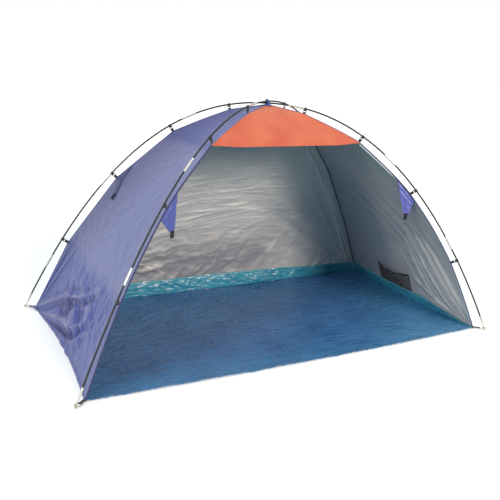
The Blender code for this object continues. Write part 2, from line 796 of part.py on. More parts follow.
def clip_mesh():
    """A hook over the pole on a plate with a slot for the webbing. Local Y runs along the pole."""
    inner = POLE_D / 2 + CLIP_FIT
    outer = inner + CLIP_WALL
    start = CLIP_TURN + CLIP_OPENING / 2
    stop = CLIP_TURN - CLIP_OPENING / 2 + 2 * math.pi
    hook = plate_mesh([arc(outer, start, stop, 9) + arc(inner, stop, start, 9)], CLIP_LENGTH)
    hook.transform(Matrix.Rotation(math.radians(90), 4, 'X'))
    top = -(outer - CLIP_WALL / 2)
    bottom = -(CLIP_BAR_DEPTH + CLIP_BAR / 2)
    plate = box_mesh((CLIP_PLATE_THICK, CLIP_PLATE_WIDTH, top - bottom), (0, 0, (top + bottom) / 2))
    slot_low = -(CLIP_BAR_DEPTH - CLIP_BAR / 2)
    slot = box_mesh((2 * CLIP_PLATE_THICK, CLIP_WEB_WIDTH + 4 * FIT, CLIP_SLOT_HEIGHT),
                    (0, 0, slot_low + CLIP_SLOT_HEIGHT / 2))
    return combined('DIFFERENCE', combined('UNION', hook, plate), slot)


def clip_web_mesh(reach):
    """Webbing folded round the clip's bar and sewn to itself, closing up on its way down to the seam."""
    thick = CLIP_WEB_THICK
    half = CLIP_PLATE_THICK / 2 + thick
    top = CLIP_BAR / 2 + thick - CLIP_BAR_DEPTH
    bottom = -CLIP_BAR / 2 - thick - CLIP_BAR_DEPTH
    closed = bottom - min(2 * thick, (bottom + reach) / 2)
    outline = [(-half, top - thick), (thick - half, top), (half - thick, top), (half, top - thick),
               (half, bottom + thick), (thick, closed), (thick, -reach),
               (-thick, -reach), (-thick, closed), (-half, bottom + thick)]
    web = plate_mesh([outline], CLIP_WEB_WIDTH)
    web.transform(Matrix.Rotation(math.radians(90), 4, 'X'))
    return web


def seam_reach(side, end, number, place, out):
    """How far in from the pole the webbing may reach: just short of the seam under all its width."""
    knot = len(CLIP_SPANS) + 1 - number
    rows = [seam_row_from(side, end, knot, shift * CLIP_WEB_WIDTH / 2) for shift in (-1, 0, 1)]
    return min((place - seam_run(side, end, row)[0]).dot(out) for row in rows) - 2 * FIT


def make_clips():
    clip = clip_mesh()
    for corner, (side, end) in CORNERS.items():
        crown = CROWNS[pole_of(side, end)]
        for number, share in enumerate(CLIP_SPANS, start=1):
            place, down, _ = leg_frame(side, end, share, crown)
            knot = clip_knot(side, end, share)
            out = (place - knot).normalized()
            out = (out - down * out.dot(down)).normalized()
            across = down.cross(out).normalized()
            matrix = Matrix((across, down, out)).transposed().to_4x4()
            matrix.translation = place
            web = clip_web_mesh(seam_reach(side, end, number, place, out))
            whole = combined('UNION', clip.copy(), web)
            add_piece(f"pole_clip_{corner}_{number}", placed(whole, matrix), BLACK_PLASTIC)


# Tie over the crossing

def make_crown_tie():
    """A tape round the crossing of the poles, knotted on top, on a stem sewn to the canopy's crown."""
    slope = SPAN_Y / 2 + 4 * LEG_BOW
    spread = math.hypot(SPAN_X / 2, slope) / (SPAN_X / 2)
    half_y = TIE_WIDTH / 2 * slope / (SPAN_X / 2) + POLE_D / 2 * spread + FIT
    half_z = POLE_D / 2 + CROSSING + FIT
    thick = TIE_THICK
    hole = [(-half_y, -half_z), (half_y, -half_z), (half_y, half_z), (-half_y, half_z)]
    band = [(x + math.copysign(thick, x), y + math.copysign(thick, y)) for x, y in hole]
    loop = plate_mesh([band, hole], TIE_WIDTH)
    loop.transform(Matrix(((0, 0, 1, 0), (1, 0, 0, 0), (0, 1, 0, 0), (0, 0, 0, 1))))

    knot = bmesh.new()
    bmesh.ops.create_uvsphere(knot, u_segments=10, v_segments=6, radius=1.0)
    bmesh.ops.scale(knot, verts=knot.verts, vec=TIE_KNOT)
    bmesh.ops.translate(knot, verts=knot.verts, vec=(0, 0, half_z + thick / 2 + TIE_KNOT[2]))
    knot_mesh = bpy.data.meshes.new("knot")
    knot.to_mesh(knot_mesh)
    knot.free()

    tails = []
    for side in (LEFT, RIGHT):
        route = [Vector((side * TIE_TAIL * along, TIE_TAIL * along / 8, half_z + thick + TIE_TAIL * rise))
                 for along, rise in ((0.0, 0.1), (0.35, 0.15), (0.7, -0.15), (1.0, -0.6))]
        tails.append(bar_mesh(route, [TIE_TAIL_D / 2] * len(route), resolution=1))
    stem_low = CLOTH_CROWN.z - POLE_TOP + 2 * FIT
    stem = box_mesh((TIE_STEM_WIDTH, 2 * thick, -half_z - thick / 2 - stem_low),
                    (0, 0, (stem_low - half_z - thick / 2) / 2))
    disc = cylinder_mesh(TIE_DISC / 2, stem_low, stem_low + thick, 12)
    tie = combined('UNION', loop, knot_mesh, *tails, stem, disc)
    tie.transform(Matrix.Translation((0, 0, POLE_TOP)))
    add_piece("crown_tie", tie, TAPE)


empty_scene()
TENT = make_collection(NAME)
TOOLS = make_collection("tools")
FIBREGLASS = finish("fibreglass", (0.035, 0.037, 0.035), 0.35)
STEEL = finish("steel", (0.72, 0.73, 0.70), 0.25, 1.0)
ELASTIC = finish("elastic", (0.75, 0.75, 0.72), 0.8)
BLACK_PLASTIC = finish("black_plastic", (0.012, 0.012, 0.014), 0.4)
BLACK_WEBBING = finish("black_webbing", (0.015, 0.015, 0.017), 0.85)
CANOPY = finish("canopy", (0.25, 0.27, 0.51), 0.55)
EAVE = finish("eave", (0.80, 0.20, 0.11), 0.6)
BINDING = finish("binding", (0.03, 0.03, 0.10), 0.7)
GROUNDSHEET = finish("groundsheet", (0.05, 0.13, 0.26), 0.35)
UPSTAND = finish("upstand", (0.06, 0.20, 0.28), 0.35)
NET = finish("net", (0.02, 0.02, 0.025), 0.8)
TAPE = finish("tape", (0.08, 0.14, 0.38), 0.8)

make_pole("a", LEFT)
make_pole("b", RIGHT)
for corner_name, (corner_side, corner_end) in CORNERS.items():
    make_corner(corner_name, corner_side, corner_end)
make_clips()
make_walls()
make_floor()
make_pockets()
for corner_name, (corner_side, corner_end) in CORNERS.items():
    make_tab = make_front_tab if corner_end == FRONT else make_back_tab
    hinge, axis = make_tab(corner_name, corner_side)
    print(f"guy_tab_{corner_name}: pivot {tuple(round(c, 5) for c in hinge)}, "
          f"axis {tuple(round(c, 5) for c in axis)}")
make_crown_tie()
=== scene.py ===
"""The looks of a fishing tent: coated cloth hung in clips under two crossed poles, open at the front.

Metres, +Z up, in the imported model's frame: +X is the right hand of someone looking in at the open front,
+Y is the back wall, and the origin is on the ground under the crossing of the poles.
"""
import math

import bmesh
import bpy
import numpy as np
from mathutils import Matrix, Vector


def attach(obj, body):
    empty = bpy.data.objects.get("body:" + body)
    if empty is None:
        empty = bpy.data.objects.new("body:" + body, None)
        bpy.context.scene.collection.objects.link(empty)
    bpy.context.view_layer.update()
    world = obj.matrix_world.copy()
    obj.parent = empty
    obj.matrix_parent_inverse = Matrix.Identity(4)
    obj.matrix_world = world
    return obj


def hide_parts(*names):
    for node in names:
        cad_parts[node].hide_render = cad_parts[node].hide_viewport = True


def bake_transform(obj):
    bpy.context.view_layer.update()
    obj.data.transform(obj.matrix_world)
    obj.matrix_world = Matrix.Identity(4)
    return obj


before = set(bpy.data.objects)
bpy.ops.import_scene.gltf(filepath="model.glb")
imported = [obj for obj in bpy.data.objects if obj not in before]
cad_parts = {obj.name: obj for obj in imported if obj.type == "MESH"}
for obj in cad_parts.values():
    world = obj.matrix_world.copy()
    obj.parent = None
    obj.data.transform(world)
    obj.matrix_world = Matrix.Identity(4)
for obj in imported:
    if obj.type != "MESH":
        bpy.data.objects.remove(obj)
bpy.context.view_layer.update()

LEFT, RIGHT, FRONT, BACK = -1, 1, -1, 1
CORNERS = {"front_left": (LEFT, FRONT), "front_right": (RIGHT, FRONT),
           "back_left": (LEFT, BACK), "back_right": (RIGHT, BACK)}
SIDES = {"left": LEFT, "right": RIGHT}
UP = np.array([0.0, 0.0, 1.0])
TAU = 2 * math.pi

# The pitched frame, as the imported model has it
HALF_X, HALF_Y = 1.14, 0.60
POLE_TOP = 1.19
SHOULDER = 2.16
LEG_BOW = 0.036
EYE_Z = 0.0099
CROSSING = 0.0044
CLIP_SPANS = (0.1457, 0.3758, 0.6121, 0.8278)
CLIP_LEANS = (0.0, 4.0, 19.0, 22.0)
STANDOFF = 0.036
CROWN_DROP, PEAK_DROP = 0.024, 0.011
CORNER_ANGLE = math.radians(42.0)
RING_REACH = 0.058
SEAM_FOLLOW = {FRONT: (1.0, 1.0, 0.5, 0.25, 0.0), BACK: (0.0, 0.0, 0.0, 0.2, 0.0)}
TOP_ROW = 4.965
EAVE_KNOT, TAB_KNOT = 3, 2
EAVE_OVERHANG = 0.012

# Poles
POLE_R, BORE_R = 0.00425, 0.0025
SECTIONS, SHORT_SECTION = 7, 0.30
FERRULE_R, FERRULE_HALF = 0.00525, 0.040
TIP_MOUTH, TIP_NOSE, TIP_SLEEVE = 0.040, 0.056, 0.082
TIP_NOSE_R = 0.0039

# Cloth
PLY = 0.0006
HEM_BOW, PANEL_SAG, EAVE_SAG = 0.030, 0.012, 0.004
EASE = 0.16
HEM = 0.014
TAPE = 0.0009
SEAM_WIDTH = 0.011
BINDING_WIDTH = 0.006
FACING_ROLL = ((0.001, 0.0), (0.0015, 0.7), (0.004, 1.0), (0.007, 0.8), (0.009, 0.2), (0.013, 0.0))
STRIP_HEIGHT, STRIP_RISE, STRIP_CLEAR, STRIP_TAPER = 0.066, 0.034, 0.0032, 0.42
RISE_START, RISE_FULL, RISE_FALLS, RISE_END = 0.55, 1.10, 2.25, 3.35
FLOOR_Z, FRONT_BOW, FLOOR_HEM = 0.0013, 0.024, 0.016
PACKING_LINES = ((-0.72, -0.36, 0.0, 0.36, 0.72), (-0.28, 0.0, 0.28))
FINER_LOW = 1.12
STITCH, STITCH_GAP, THREAD = 0.0032, 0.0018, 0.00035
THREAD_PITCH = 0.0005
STITCH_FACES = ((0, 2, 4), (2, 1, 4), (1, 3, 4), (3, 0, 4), (2, 0, 5), (1, 2, 5), (3, 1, 5), (0, 3, 5))
WELD = 0.00002

# Directions in degrees and pitches of the creases of cloth that was packed away
FACETS = ((15, 0.17), (62, 0.12), (112, 0.15), (155, 0.10), (85, 0.06))

# Net pockets
POCKET_FRONT, POCKET_LENGTH = -0.095, 0.300
POCKET_HEIGHT, POCKET_SLACK, MOUTH_SAG = 0.110, 0.024, 0.005
POCKET_CLEAR = 0.003
NET_GAP, NET_STRAND = 0.0038, 0.0014

# Guy tabs; a front one has its reach above and below the clip, drop, place of its end, and flat size
FRONT_TABS = {LEFT: (0.094, 0.062, 0.126, 0.30, (0.156, 0.128)),
              RIGHT: (0.100, 0.052, 0.132, 0.64, (0.140, 0.118))}
TAB_ABOVE_CLIP, TAB_DROP, TAB_END, TAB_BEND = 0.118, 0.134, 0.026, 0.050
TAB_WEB_WIDTH, TAB_WEB_LENGTH, TAB_WEB_LAP = 0.020, 0.034, 0.008
BACK_TAB_START, BACK_TAB_LEAN, BACK_TAB_LIFT = 0.012, 0.074, 0.0026

# Tie over the crossing
TIE_WIDTH, KNOT_R, TAIL_WIDTH = 0.012, 0.0019, 0.0075

# Clips
CLIP_INNER, CLIP_WALL, CLIP_LENGTH = 0.0047, 0.0022, 0.011
CLIP_OPENING, CLIP_TURN = math.radians(95.0), math.radians(20.0)
CLIP_PLATE = (0.0190, 0.0030)
CLIP_BAR_DEPTH, CLIP_BAR = 0.0185, 0.0026
CLIP_SLOT = (0.0157, 0.0050)
CLIP_WEB = (0.0145, 0.0009)

# Corner pins, rings and webbing; a patch has places along the pull, half widths and rises
EYE_R, PIN_R, PIN_REACH = 0.0075, 0.0021, 0.092
RING_R, RING_WIRE = 0.0150, 0.00175
CORNER_WEB = (0.016, 0.0013)
CORNER_PATCH = ((-0.078, 0.034, 0.010), (-0.066, 0.028, 0.009), (-0.052, 0.022, 0.007),
                (-0.040, 0.017, 0.004), (-0.030, 0.014, 0.002), (-0.024, 0.012, 0.001))

# Camera and light; a lamp has the way to it, its softness in degrees, strength and colour
EYE_POINT = (-1.674, -3.038, 1.417)
EYE_YAW, EYE_PITCH, EYE_ROLL = math.radians(28.04), math.radians(16.36), math.radians(2.96)
LENS = 47.8
STUDIO = 400.0
LAMPS = {"key": ((0.243, -0.908, 0.342), 22.0, 2.85, (1.0, 0.86, 0.76)),
         "sky": ((-0.30, -0.10, 1.0), 50.0, 0.60, (1.0, 0.96, 0.92)),
         "side": ((-0.82, -0.32, 0.48), 26.0, 1.00, (1.0, 0.99, 0.99)),
         "glint": ((-0.80, 0.48, 0.36), 10.0, 0.30, (1.0, 1.0, 1.0)),
         "rear": ((0.50, 0.80, 0.45), 40.0, 0.80, (1.0, 1.0, 1.0))}


# Arrays of points

def unit(vector):
    vector = np.asarray(vector, float)
    return vector / np.linalg.norm(vector, axis=-1, keepdims=True)


def mix(first, last, share):
    share = np.asarray(share, float)
    if np.ndim(first) > np.ndim(share):
        share = share[..., None]
    return first + (last - first) * share


def between(first, last, share):
    """Points at a grid of shares of the way from one point, or run of points, to another."""
    return first + (last - first) * share[..., None]


def smooth(value):
    value = np.clip(value, 0.0, 1.0)
    return value * value * (3 - 2 * value)


def unit_grid(rows, columns):
    """How far down and how far across each point of a grid lies, from 0 to 1."""
    return np.meshgrid(np.linspace(0, 1, rows), np.linspace(0, 1, columns), indexing="ij")


def lengths(points):
    """The distance along a run of points at each of them."""
    return np.concatenate([[0.0], np.cumsum(np.linalg.norm(np.diff(points, axis=0), axis=1))])


def along_run(points, marks, places):
    """What a run of points with marks has at places between the marks."""
    return np.stack([np.interp(places, marks, points[:, k]) for k in range(3)], axis=-1)


def arc(radius, start, stop, count):
    angles = np.linspace(start, stop, count + 1)
    return np.stack([radius * np.cos(angles), radius * np.sin(angles)], axis=1)


def drift(u, v, seed=0):
    """Values that wander smoothly between about -1 and 1 over a plane, one swing a unit."""
    cell_u, cell_v = np.floor(u), np.floor(v)
    part_u, part_v = u - cell_u, v - cell_v

    def slope(step_u, step_v):
        turn = np.sin((cell_u + step_u) * 12.9898 + (cell_v + step_v) * 78.233 + seed * 37.719) * 43758.5453
        angle = TAU * (turn - np.floor(turn))
        return np.cos(angle) * (part_u - step_u) + np.sin(angle) * (part_v - step_v)

    ease_u = part_u ** 3 * (part_u * (6 * part_u - 15) + 10)
    ease_v = part_v ** 3 * (part_v * (6 * part_v - 15) + 10)
    low = slope(0, 0) + (slope(1, 0) - slope(0, 0)) * ease_u
    high = slope(0, 1) + (slope(1, 1) - slope(0, 1)) * ease_u
    return 1.5 * (low + (high - low) * ease_v)


def crease(u, v, seed=0, sharp=2.0):
    """Thin ridges from 0 to 1 that run along u and follow each other along v."""
    return np.clip(1 - 1.6 * np.abs(drift(u, v, seed)), 0, 1) ** sharp


def fan(s, t, corner, heading, width, folds, reach, seed):
    """Folds that spread from a corner of a panel, strongest at a reach from it."""
    away = np.hypot(s - corner[0], t - corner[1])
    turn = np.arctan2(t - corner[1], s - corner[0]) - math.radians(heading)
    strength = away / reach * np.exp(1 - away / reach) * np.exp(-(turn / math.radians(width)) ** 2)
    sway = 1.3 * drift(turn * folds / TAU + 9, away / reach, seed)
    return strength * np.sin(folds * turn + 2.2 * sway)


def ridge(s, t, line, width, height, blunt=1.4):
    """A crease along a run of points, steep on its left, that widens and fades out on its way."""
    line = np.array(line)
    marks = lengths(line)
    marks /= marks[-1]
    nearest, place, side = np.full(s.shape, 9.0), np.zeros(s.shape), np.zeros(s.shape)
    for number, (first, last) in enumerate(zip(line, line[1:])):
        run, x, y = last - first, s - first[0], t - first[1]
        share = np.clip((x * run[0] + y * run[1]) / run.dot(run), 0, 1)
        away = np.hypot(x - share * run[0], y - share * run[1])
        closer = away < nearest
        nearest = np.where(closer, away, nearest)
        place = np.where(closer, mix(marks[number], marks[number + 1], share), place)
        side = np.where(closer, np.sign(run[0] * y - run[1] * x), side)
    breadth = width * (0.45 + 0.75 * place) * np.where(side > 0, 0.6, 1.3)
    return height * np.sin(math.pi * np.clip(place, 0.02, 1)) ** 0.6 * np.exp(-(nearest / breadth) ** blunt)


def bends(s, t, rows):
    """Creases along smooth bends: each row is the start, middle and end of one, its width and its height."""
    u = np.linspace(0, 1, 11)[:, None]
    total = 0.0
    for start, middle, stop, width, height in rows:
        line = (1 - u) ** 2 * np.array(start) + 2 * u * (1 - u) * np.array(middle) + u * u * np.array(stop)
        total = total + ridge(s, t, line, width, height, 2.0)
    return total


def facets(s, t, seed):
    """Flat facets between sharp creases that cross each other, from about -1 to 1."""
    x, y = s + 0.05 * drift(s * 5, t * 5, seed), t + 0.05 * drift(s * 5, t * 5, seed + 1)
    total = np.zeros(s.shape)
    for turn, pitch in FACETS:
        along = x * math.cos(math.radians(turn)) + y * math.sin(math.radians(turn))
        total += pitch * (4 * np.abs((along / pitch + 0.37 * seed) % 1 - 0.5) - 1)
    return total / sum(pitch for _, pitch in FACETS)


def crumple(s, t, seed):
    """Cloth that was packed away: crossing creases with soft hollows between them, from about -1 to 1."""
    bend_s, bend_t = drift(s * 3, t * 3, seed + 1) * 0.10, drift(s * 3, t * 3, seed + 2) * 0.10
    x, y = s + bend_s, t + bend_t
    large = crease(x * 5 + y * 3, y * 10 - x * 5, seed + 3, 1.4)
    cross = crease(x * 6 - y * 5, y * 8 + x * 7, seed + 4, 1.4)
    small = crease(x * 14 + y * 6, y * 22 - x * 12, seed + 5)
    return large - cross + 0.5 * small - 0.4 * drift(x * 18, y * 18, seed + 6)


def patch(s, t, centre, size):
    return np.exp(-((s - centre[0]) / size[0]) ** 2 - ((t - centre[1]) / size[1]) ** 2)


# Legs and seams

def leg(side, end, share, crown=POLE_TOP):
    """The centre line of a leg: share 0 is the crown and share 1 the eye of its corner pin."""
    share = np.asarray(share, float)
    return np.stack([side * share * HALF_X, end * (share * HALF_Y + 4 * LEG_BOW * share * (1 - share)),
                     EYE_Z + (crown - EYE_Z) * (1 - share ** SHOULDER)], axis=-1)


def leg_frame(side, end, share, crown=POLE_TOP, step=0.004):
    """A point of a leg, the way down it and the way up and out from it."""
    down = unit(leg(side, end, share + step, crown) - leg(side, end, share - step, crown))
    return leg(side, end, share, crown), down, unit(UP - down * down[2])


def corner_pull(side, end):
    return np.array([side * math.cos(CORNER_ANGLE), end * math.sin(CORNER_ANGLE), 0.0])


def pole_crown(side, end):
    return POLE_TOP + (CROSSING if side == end else -CROSSING)


def clip_out(end, number, down, out):
    """The way from a clip's foot up to its pole: the front clips are drawn back by the side wall."""
    if end == BACK:
        return out
    lean = math.radians(CLIP_LEANS[number - 1])
    back = np.cross(out, down)
    return out * math.cos(lean) - back * np.sign(back[1]) * math.sin(lean)


def seam_knots(side, end):
    corner = leg(side, end, 1.0) - corner_pull(side, end) * RING_REACH
    knots = [corner * (1, 1, 0)]
    for number, share in reversed(list(enumerate(CLIP_SPANS, start=1))):
        place, down, out = leg_frame(side, end, share)
        reach = min(STANDOFF, CROWN_DROP + (STANDOFF - CROWN_DROP) * share / CLIP_SPANS[1])
        knots.append(place - clip_out(end, number, down, out) * reach)
    knots.append(np.array([0.0, 0.0, POLE_TOP - PEAK_DROP]))
    return np.array(knots)


LAST = len(CLIP_SPANS) + 1
LEVELS = np.arange(LAST + 1)
SPANS = np.array([1.0, *reversed(CLIP_SPANS), 0.0])
SEAMS = {corner: seam_knots(*corner) for corner in CORNERS.values()}
CHORDS = np.linalg.norm(np.diff(SEAMS[RIGHT, BACK], axis=0), axis=1)
CLIMB = lengths(SEAMS[RIGHT, BACK])
PANELS = {"left_wall": ((LEFT, FRONT), (LEFT, BACK)), "right_wall": ((RIGHT, FRONT), (RIGHT, BACK)),
          "back_wall": ((LEFT, BACK), (RIGHT, BACK)), "eave_panel": ((LEFT, FRONT), (RIGHT, FRONT))}
SIDE_PANEL = {LEFT: "left_wall", RIGHT: "right_wall"}
END_PANEL = {FRONT: "eave_panel", BACK: "back_wall"}


def seam(corner, row, eased=False):
    """Points of a seam at rows, between the clips' knots; the eased ones round its bends off."""
    knots, row = SEAMS[corner], np.asarray(row, float)
    offsets = knots - leg(*corner, SPANS)

    def hung(at):
        held = np.where(at < 0, -at, np.where(at > LAST, 2 * LAST - at, at))
        follow = leg(*corner, np.interp(held, LEVELS, SPANS)) + along_run(offsets, LEVELS, held)
        ease = np.interp(held, LEVELS[:-1] + 0.5, SEAM_FOLLOW[corner[1]])
        points = mix(along_run(knots, LEVELS, held), follow, ease)
        points = np.where((at < 0)[..., None], 2 * knots[0] - points, points)
        return np.where((at > LAST)[..., None], 2 * knots[-1] - points, points)

    if not eased:
        return hung(row)
    steps = np.linspace(-0.55, 0.55, 9)
    weights = np.cos(steps / 0.6 * math.pi / 2)
    return sum(weight * hung(row + step) for step, weight in zip(steps, weights)) / weights.sum()


def row_at(height):
    return np.interp(height, SEAMS[RIGHT, BACK][:, 2], LEVELS)


def row_from(knot, distance):
    """The row at a distance up a seam from a knot, or down it where the distance is negative."""
    return knot + distance / CHORDS[knot if distance > 0 else knot - 1]


EAVE_ROW = row_from(EAVE_KNOT, -EAVE_OVERHANG)


def seam_inset(corner, row, depth):
    """Points inside a seam, at a depth from the faces of both panels."""
    side, end = corner
    up = unit(seam(corner, row + 0.02) - seam(corner, row - 0.02))
    face_x = unit(np.stack([side * up[..., 2], 0 * up[..., 0], -side * up[..., 0]], axis=-1))
    face_y = unit(np.stack([0 * up[..., 0], end * up[..., 2], -end * up[..., 1]], axis=-1))
    meet = 1 + (face_x * face_y).sum(axis=-1, keepdims=True)
    return seam(corner, row) - (face_x + face_y) * depth / meet


# Folds of the panels: s is metres from the first seam, c from the middle, t metres of climb

# Runs of the left wall's big creases, each with its width and height
LEFT_UPPER = np.array(((0.55, 0.01), (0.34, 0.13), (0.20, 0.21), (0.08, 0.245), (-0.04, 0.29), (-0.16, 0.36),
                       (-0.27, 0.41)))
LEFT_LOWER = ((0.46, 0.02), (0.30, 0.055), (0.16, 0.09), (0.04, 0.10), (-0.06, 0.13), (-0.13, 0.18),
              (-0.24, 0.24))
LEFT_VALLEY = ((0.34, 0.015), (0.20, 0.03), (0.02, 0.055), (-0.10, 0.10), (-0.19, 0.19))
LEFT_FACET = ((0.26, 0.10), (0.14, 0.15), (0.02, 0.19))
LEFT_RUNS = ((LEFT_UPPER, 0.016, 0.0170), (LEFT_UPPER - (0.0, 0.038), 0.016, -0.0120),
             (LEFT_UPPER + (0.0, 0.045), 0.012, -0.0060), (LEFT_LOWER, 0.017, 0.0190),
             (LEFT_VALLEY, 0.016, -0.0190), (LEFT_FACET, 0.050, -0.0120, 2.6))

# Bent creases: start, middle and end, width and height
LEFT_BENDS = (((0.555, 0.02), (0.500, 0.20), (0.400, 0.52), 0.014, -0.0080),
              ((0.550, 0.02), (0.460, 0.18), (0.340, 0.46), 0.012, 0.0070))
RIGHT_BENDS = (((0.005, 0.03), (0.06, 0.24), (0.15, 0.54), 0.013, -0.0150),
               ((0.02, 0.02), (0.10, 0.22), (0.19, 0.58), 0.012, 0.0130),
               ((0.03, 0.02), (0.14, 0.20), (0.21, 0.60), 0.011, -0.0120),
               ((0.04, 0.02), (0.18, 0.17), (0.25, 0.62), 0.011, 0.0100),
               ((0.07, 0.03), (0.23, 0.15), (0.28, 0.56), 0.010, -0.0100),
               ((0.12, 0.04), (0.28, 0.14), (0.31, 0.52), 0.008, 0.0085),
               ((0.16, 0.05), (0.32, 0.12), (0.34, 0.48), 0.007, -0.0085),
               ((0.02, 0.01), (0.20, 0.06), (0.42, 0.22), 0.011, -0.0075),
               ((0.04, 0.01), (0.24, 0.05), (0.40, 0.15), 0.009, 0.0060),
               ((0.30, 0.12), (0.40, 0.24), (0.42, 0.44), 0.009, 0.0050))
BACK_BENDS = (((-1.05, 0.02), (-0.66, 0.22), (-0.30, 0.22), 0.020, -0.0060),
              ((-0.86, 0.30), (-0.64, 0.26), (-0.42, 0.11), 0.016, 0.0045),
              ((-0.76, 0.36), (-0.52, 0.26), (-0.28, 0.11), 0.015, -0.0045),
              ((-0.12, 0.11), (0.02, 0.22), (0.06, 0.40), 0.016, -0.0030),
              ((0.00, 0.11), (0.14, 0.20), (0.22, 0.40), 0.016, 0.0035),
              ((0.22, 0.12), (0.40, 0.26), (0.50, 0.52), 0.020, -0.0035),
              ((0.40, 0.12), (0.56, 0.28), (0.62, 0.48), 0.020, 0.0030),
              ((1.08, 0.02), (0.86, 0.46), (0.62, 0.86), 0.014, -0.0060),
              ((1.06, 0.02), (0.80, 0.42), (0.56, 0.80), 0.012, 0.0045))


def left_wall_folds(s, t, width):
    c = s - width / 2
    big = sum(ridge(c, t, *run) for run in LEFT_RUNS) + bends(c, t, LEFT_BENDS)
    packed = patch(c, t, (0.00, 0.17), (0.25, 0.13)) + 0.35 * patch(c, t, (-0.20, 0.30), (0.25, 0.12))
    rough = (0.0210 * facets(s, t, 4) + 0.0110 * facets(1.9 * s, 1.9 * t, 7)
             + 0.0040 * crumple(2.1 * (1.2 - s), 2.1 * t, 9)) * packed
    calm = 0.0010 * crumple(1.2 - s, t, 14) * smooth(t / 0.3)
    stretch = crease(s * 1.4 - t, (t + 0.65 * s) * 11, 2, 1.5) * patch(c, t, (0.05, 0.95), (0.5, 0.5))
    hem = 0.0022 * drift(s * 13, t * 3, 7) * np.exp(-t / 0.07)
    return big + rough + calm + 0.0016 * stretch + hem


def right_wall_folds(s, t, width):
    c = s - width / 2
    sheaf = (0.0028 * fan(s, t, (0.0, 0.0), 66, 20, 44, 0.34, 11)
             + 0.0022 * fan(s, t, (width, 0.0), 132, 30, 15, 0.3, 13))
    grain = 0.0013 * crumple(s * 1.4, t * 1.4, 17)
    stretch = 0.0016 * crease(s * 2 + t, (t + 0.5 * s) * 15, 14, 1.5) * patch(c, t, (0.1, 0.6), (0.5, 0.5))
    hem = 0.0028 * drift(s * 14, t * 3, 15) * np.exp(-t / 0.08)
    return 1.25 * bends(s, t, RIGHT_BENDS) + sheaf + grain + stretch + hem


def back_wall_folds(s, t, width):
    c = s - width / 2
    arch = t - 0.05 * np.sin(3.2 * c + 1.4) + 0.012 * drift(c * 4, t * 5, 20)
    rise = arch - 0.10 * c
    strokes = (crease(c * 1.5 + 2 * t, rise * 12, 21, 5.0) + 0.8 * crease(c * 2.0 - t, arch * 19, 22, 5.0)
               + 0.6 * crease(c * 3.0 + t, rise * 31, 23, 3.4)) * patch(c, t, (-0.10, 0.64), (0.78, 0.28))
    slack = (bends(c, t, BACK_BENDS)
             + (0.0130 * facets(0.7 * s, 1.3 * t, 5) + 0.0060 * facets(1.6 * s, 2.4 * t, 8))
             * patch(c, t, (-0.60, 0.27), (0.46, 0.16))
             + 0.0050 * facets(0.8 * s, 1.2 * t, 3) * patch(c, t, (0.10, 0.24), (0.50, 0.14)))
    beside = width - 0.058 - 0.020 * np.sin(math.pi * t / 1.5) - s
    tucked = -0.0110 * np.exp(-(beside / 0.011) ** 2) * smooth(t / 0.2) * smooth((1.5 - t) / 0.4)
    gathers = drift(s * 16 + 2 * drift(s * 3, t * 5, 24), t * 5, 25) * np.exp(-((t - 0.10) / 0.09) ** 2)
    fans = fan(s, t, (0.0, 0.0), 46, 30, 22, 0.30, 27) + fan(s, t, (width, 0.0), 128, 30, 22, 0.34, 28)
    return slack + tucked - 0.0038 * strokes + 0.0060 * gathers + 0.0034 * fans + 0.0015 * crumple(s, t, 29)


def eave_folds(s, t, width):
    spread = (fan(s, t - 1.79, (width / 2, 0.0), -112, 26, 30, 0.20, 31)
              + fan(s, t - 1.37, (0.0, 0.0), 24, 22, 26, 0.2, 33))
    return 0.0016 * spread + 0.0008 * crease(s * 2.2, t * 16 + s * 3, 32, 1.5)


# Each panel's folds, and the height at which its painted highlight and painted shade show in full
FOLDS = {"left_wall": (left_wall_folds, 0.014), "right_wall": (right_wall_folds, 0.014),
         "back_wall": (back_wall_folds, 0.008), "eave_panel": (eave_folds, 0.008)}


# Panels

def base(panel, row, across):
    """The taut surface of a panel between its two seams, with its sag and the bow of its hem."""
    first, last = PANELS[panel]
    low, high = seam(first, row), seam(last, row)
    width = np.linalg.norm(high - low, axis=-1)
    inner = np.minimum(across, 1 - across) * width
    eased = mix(seam(first, row, True), seam(last, row, True), across)
    point = mix(mix(low, high, across), eased, smooth(inner / EASE))
    upward = unit(seam(first, row + 0.1, True) - seam(first, row - 0.1, True))
    along = unit(high - low)
    upward = unit(upward - along * (along * upward).sum(axis=-1, keepdims=True))
    inward = np.cross(along, upward)
    inward = inward * np.where(inward[..., 2:] > 0, -1, 1)
    bow = 4 * across * (1 - across)
    if panel == "eave_panel":
        give = EAVE_SAG * bow * np.sin(math.pi * np.clip((LAST - row) / (LAST - EAVE_KNOT), 0, 1))
    else:
        give = HEM_BOW * bow * np.clip(1 - row, 0, 1) + PANEL_SAG * bow * np.sin(math.pi * row / TOP_ROW)
    offset = inward * give[..., None]
    slide = offset[..., 2:] / upward[..., 2:] * np.clip(1 - row, 0, 1)[..., None]
    return point + offset - upward * slide, -inward, width


def panel_folds(panel, row, across, width):
    """The height of a panel's folds, fading out at its seams."""
    inner = np.minimum(across, 1 - across) * width
    folds = FOLDS[panel][0](across * width, np.interp(row, LEVELS, CLIMB), width)
    return folds * smooth(inner / 0.05) * smooth((LAST - row) / 0.5)


def wall(panel, row, across, lift=0.0):
    """Points on a panel's cloth with all its folds, at a lift outside the middle of the cloth."""
    row, across = np.broadcast_arrays(np.asarray(row, float), np.asarray(across, float))
    point, outward, width = base(panel, row, across)
    offset = outward * (panel_folds(panel, row, across, width) + lift)[..., None]
    offset[..., 2] *= smooth(np.interp(row, LEVELS, CLIMB) / 0.02)
    return point + offset


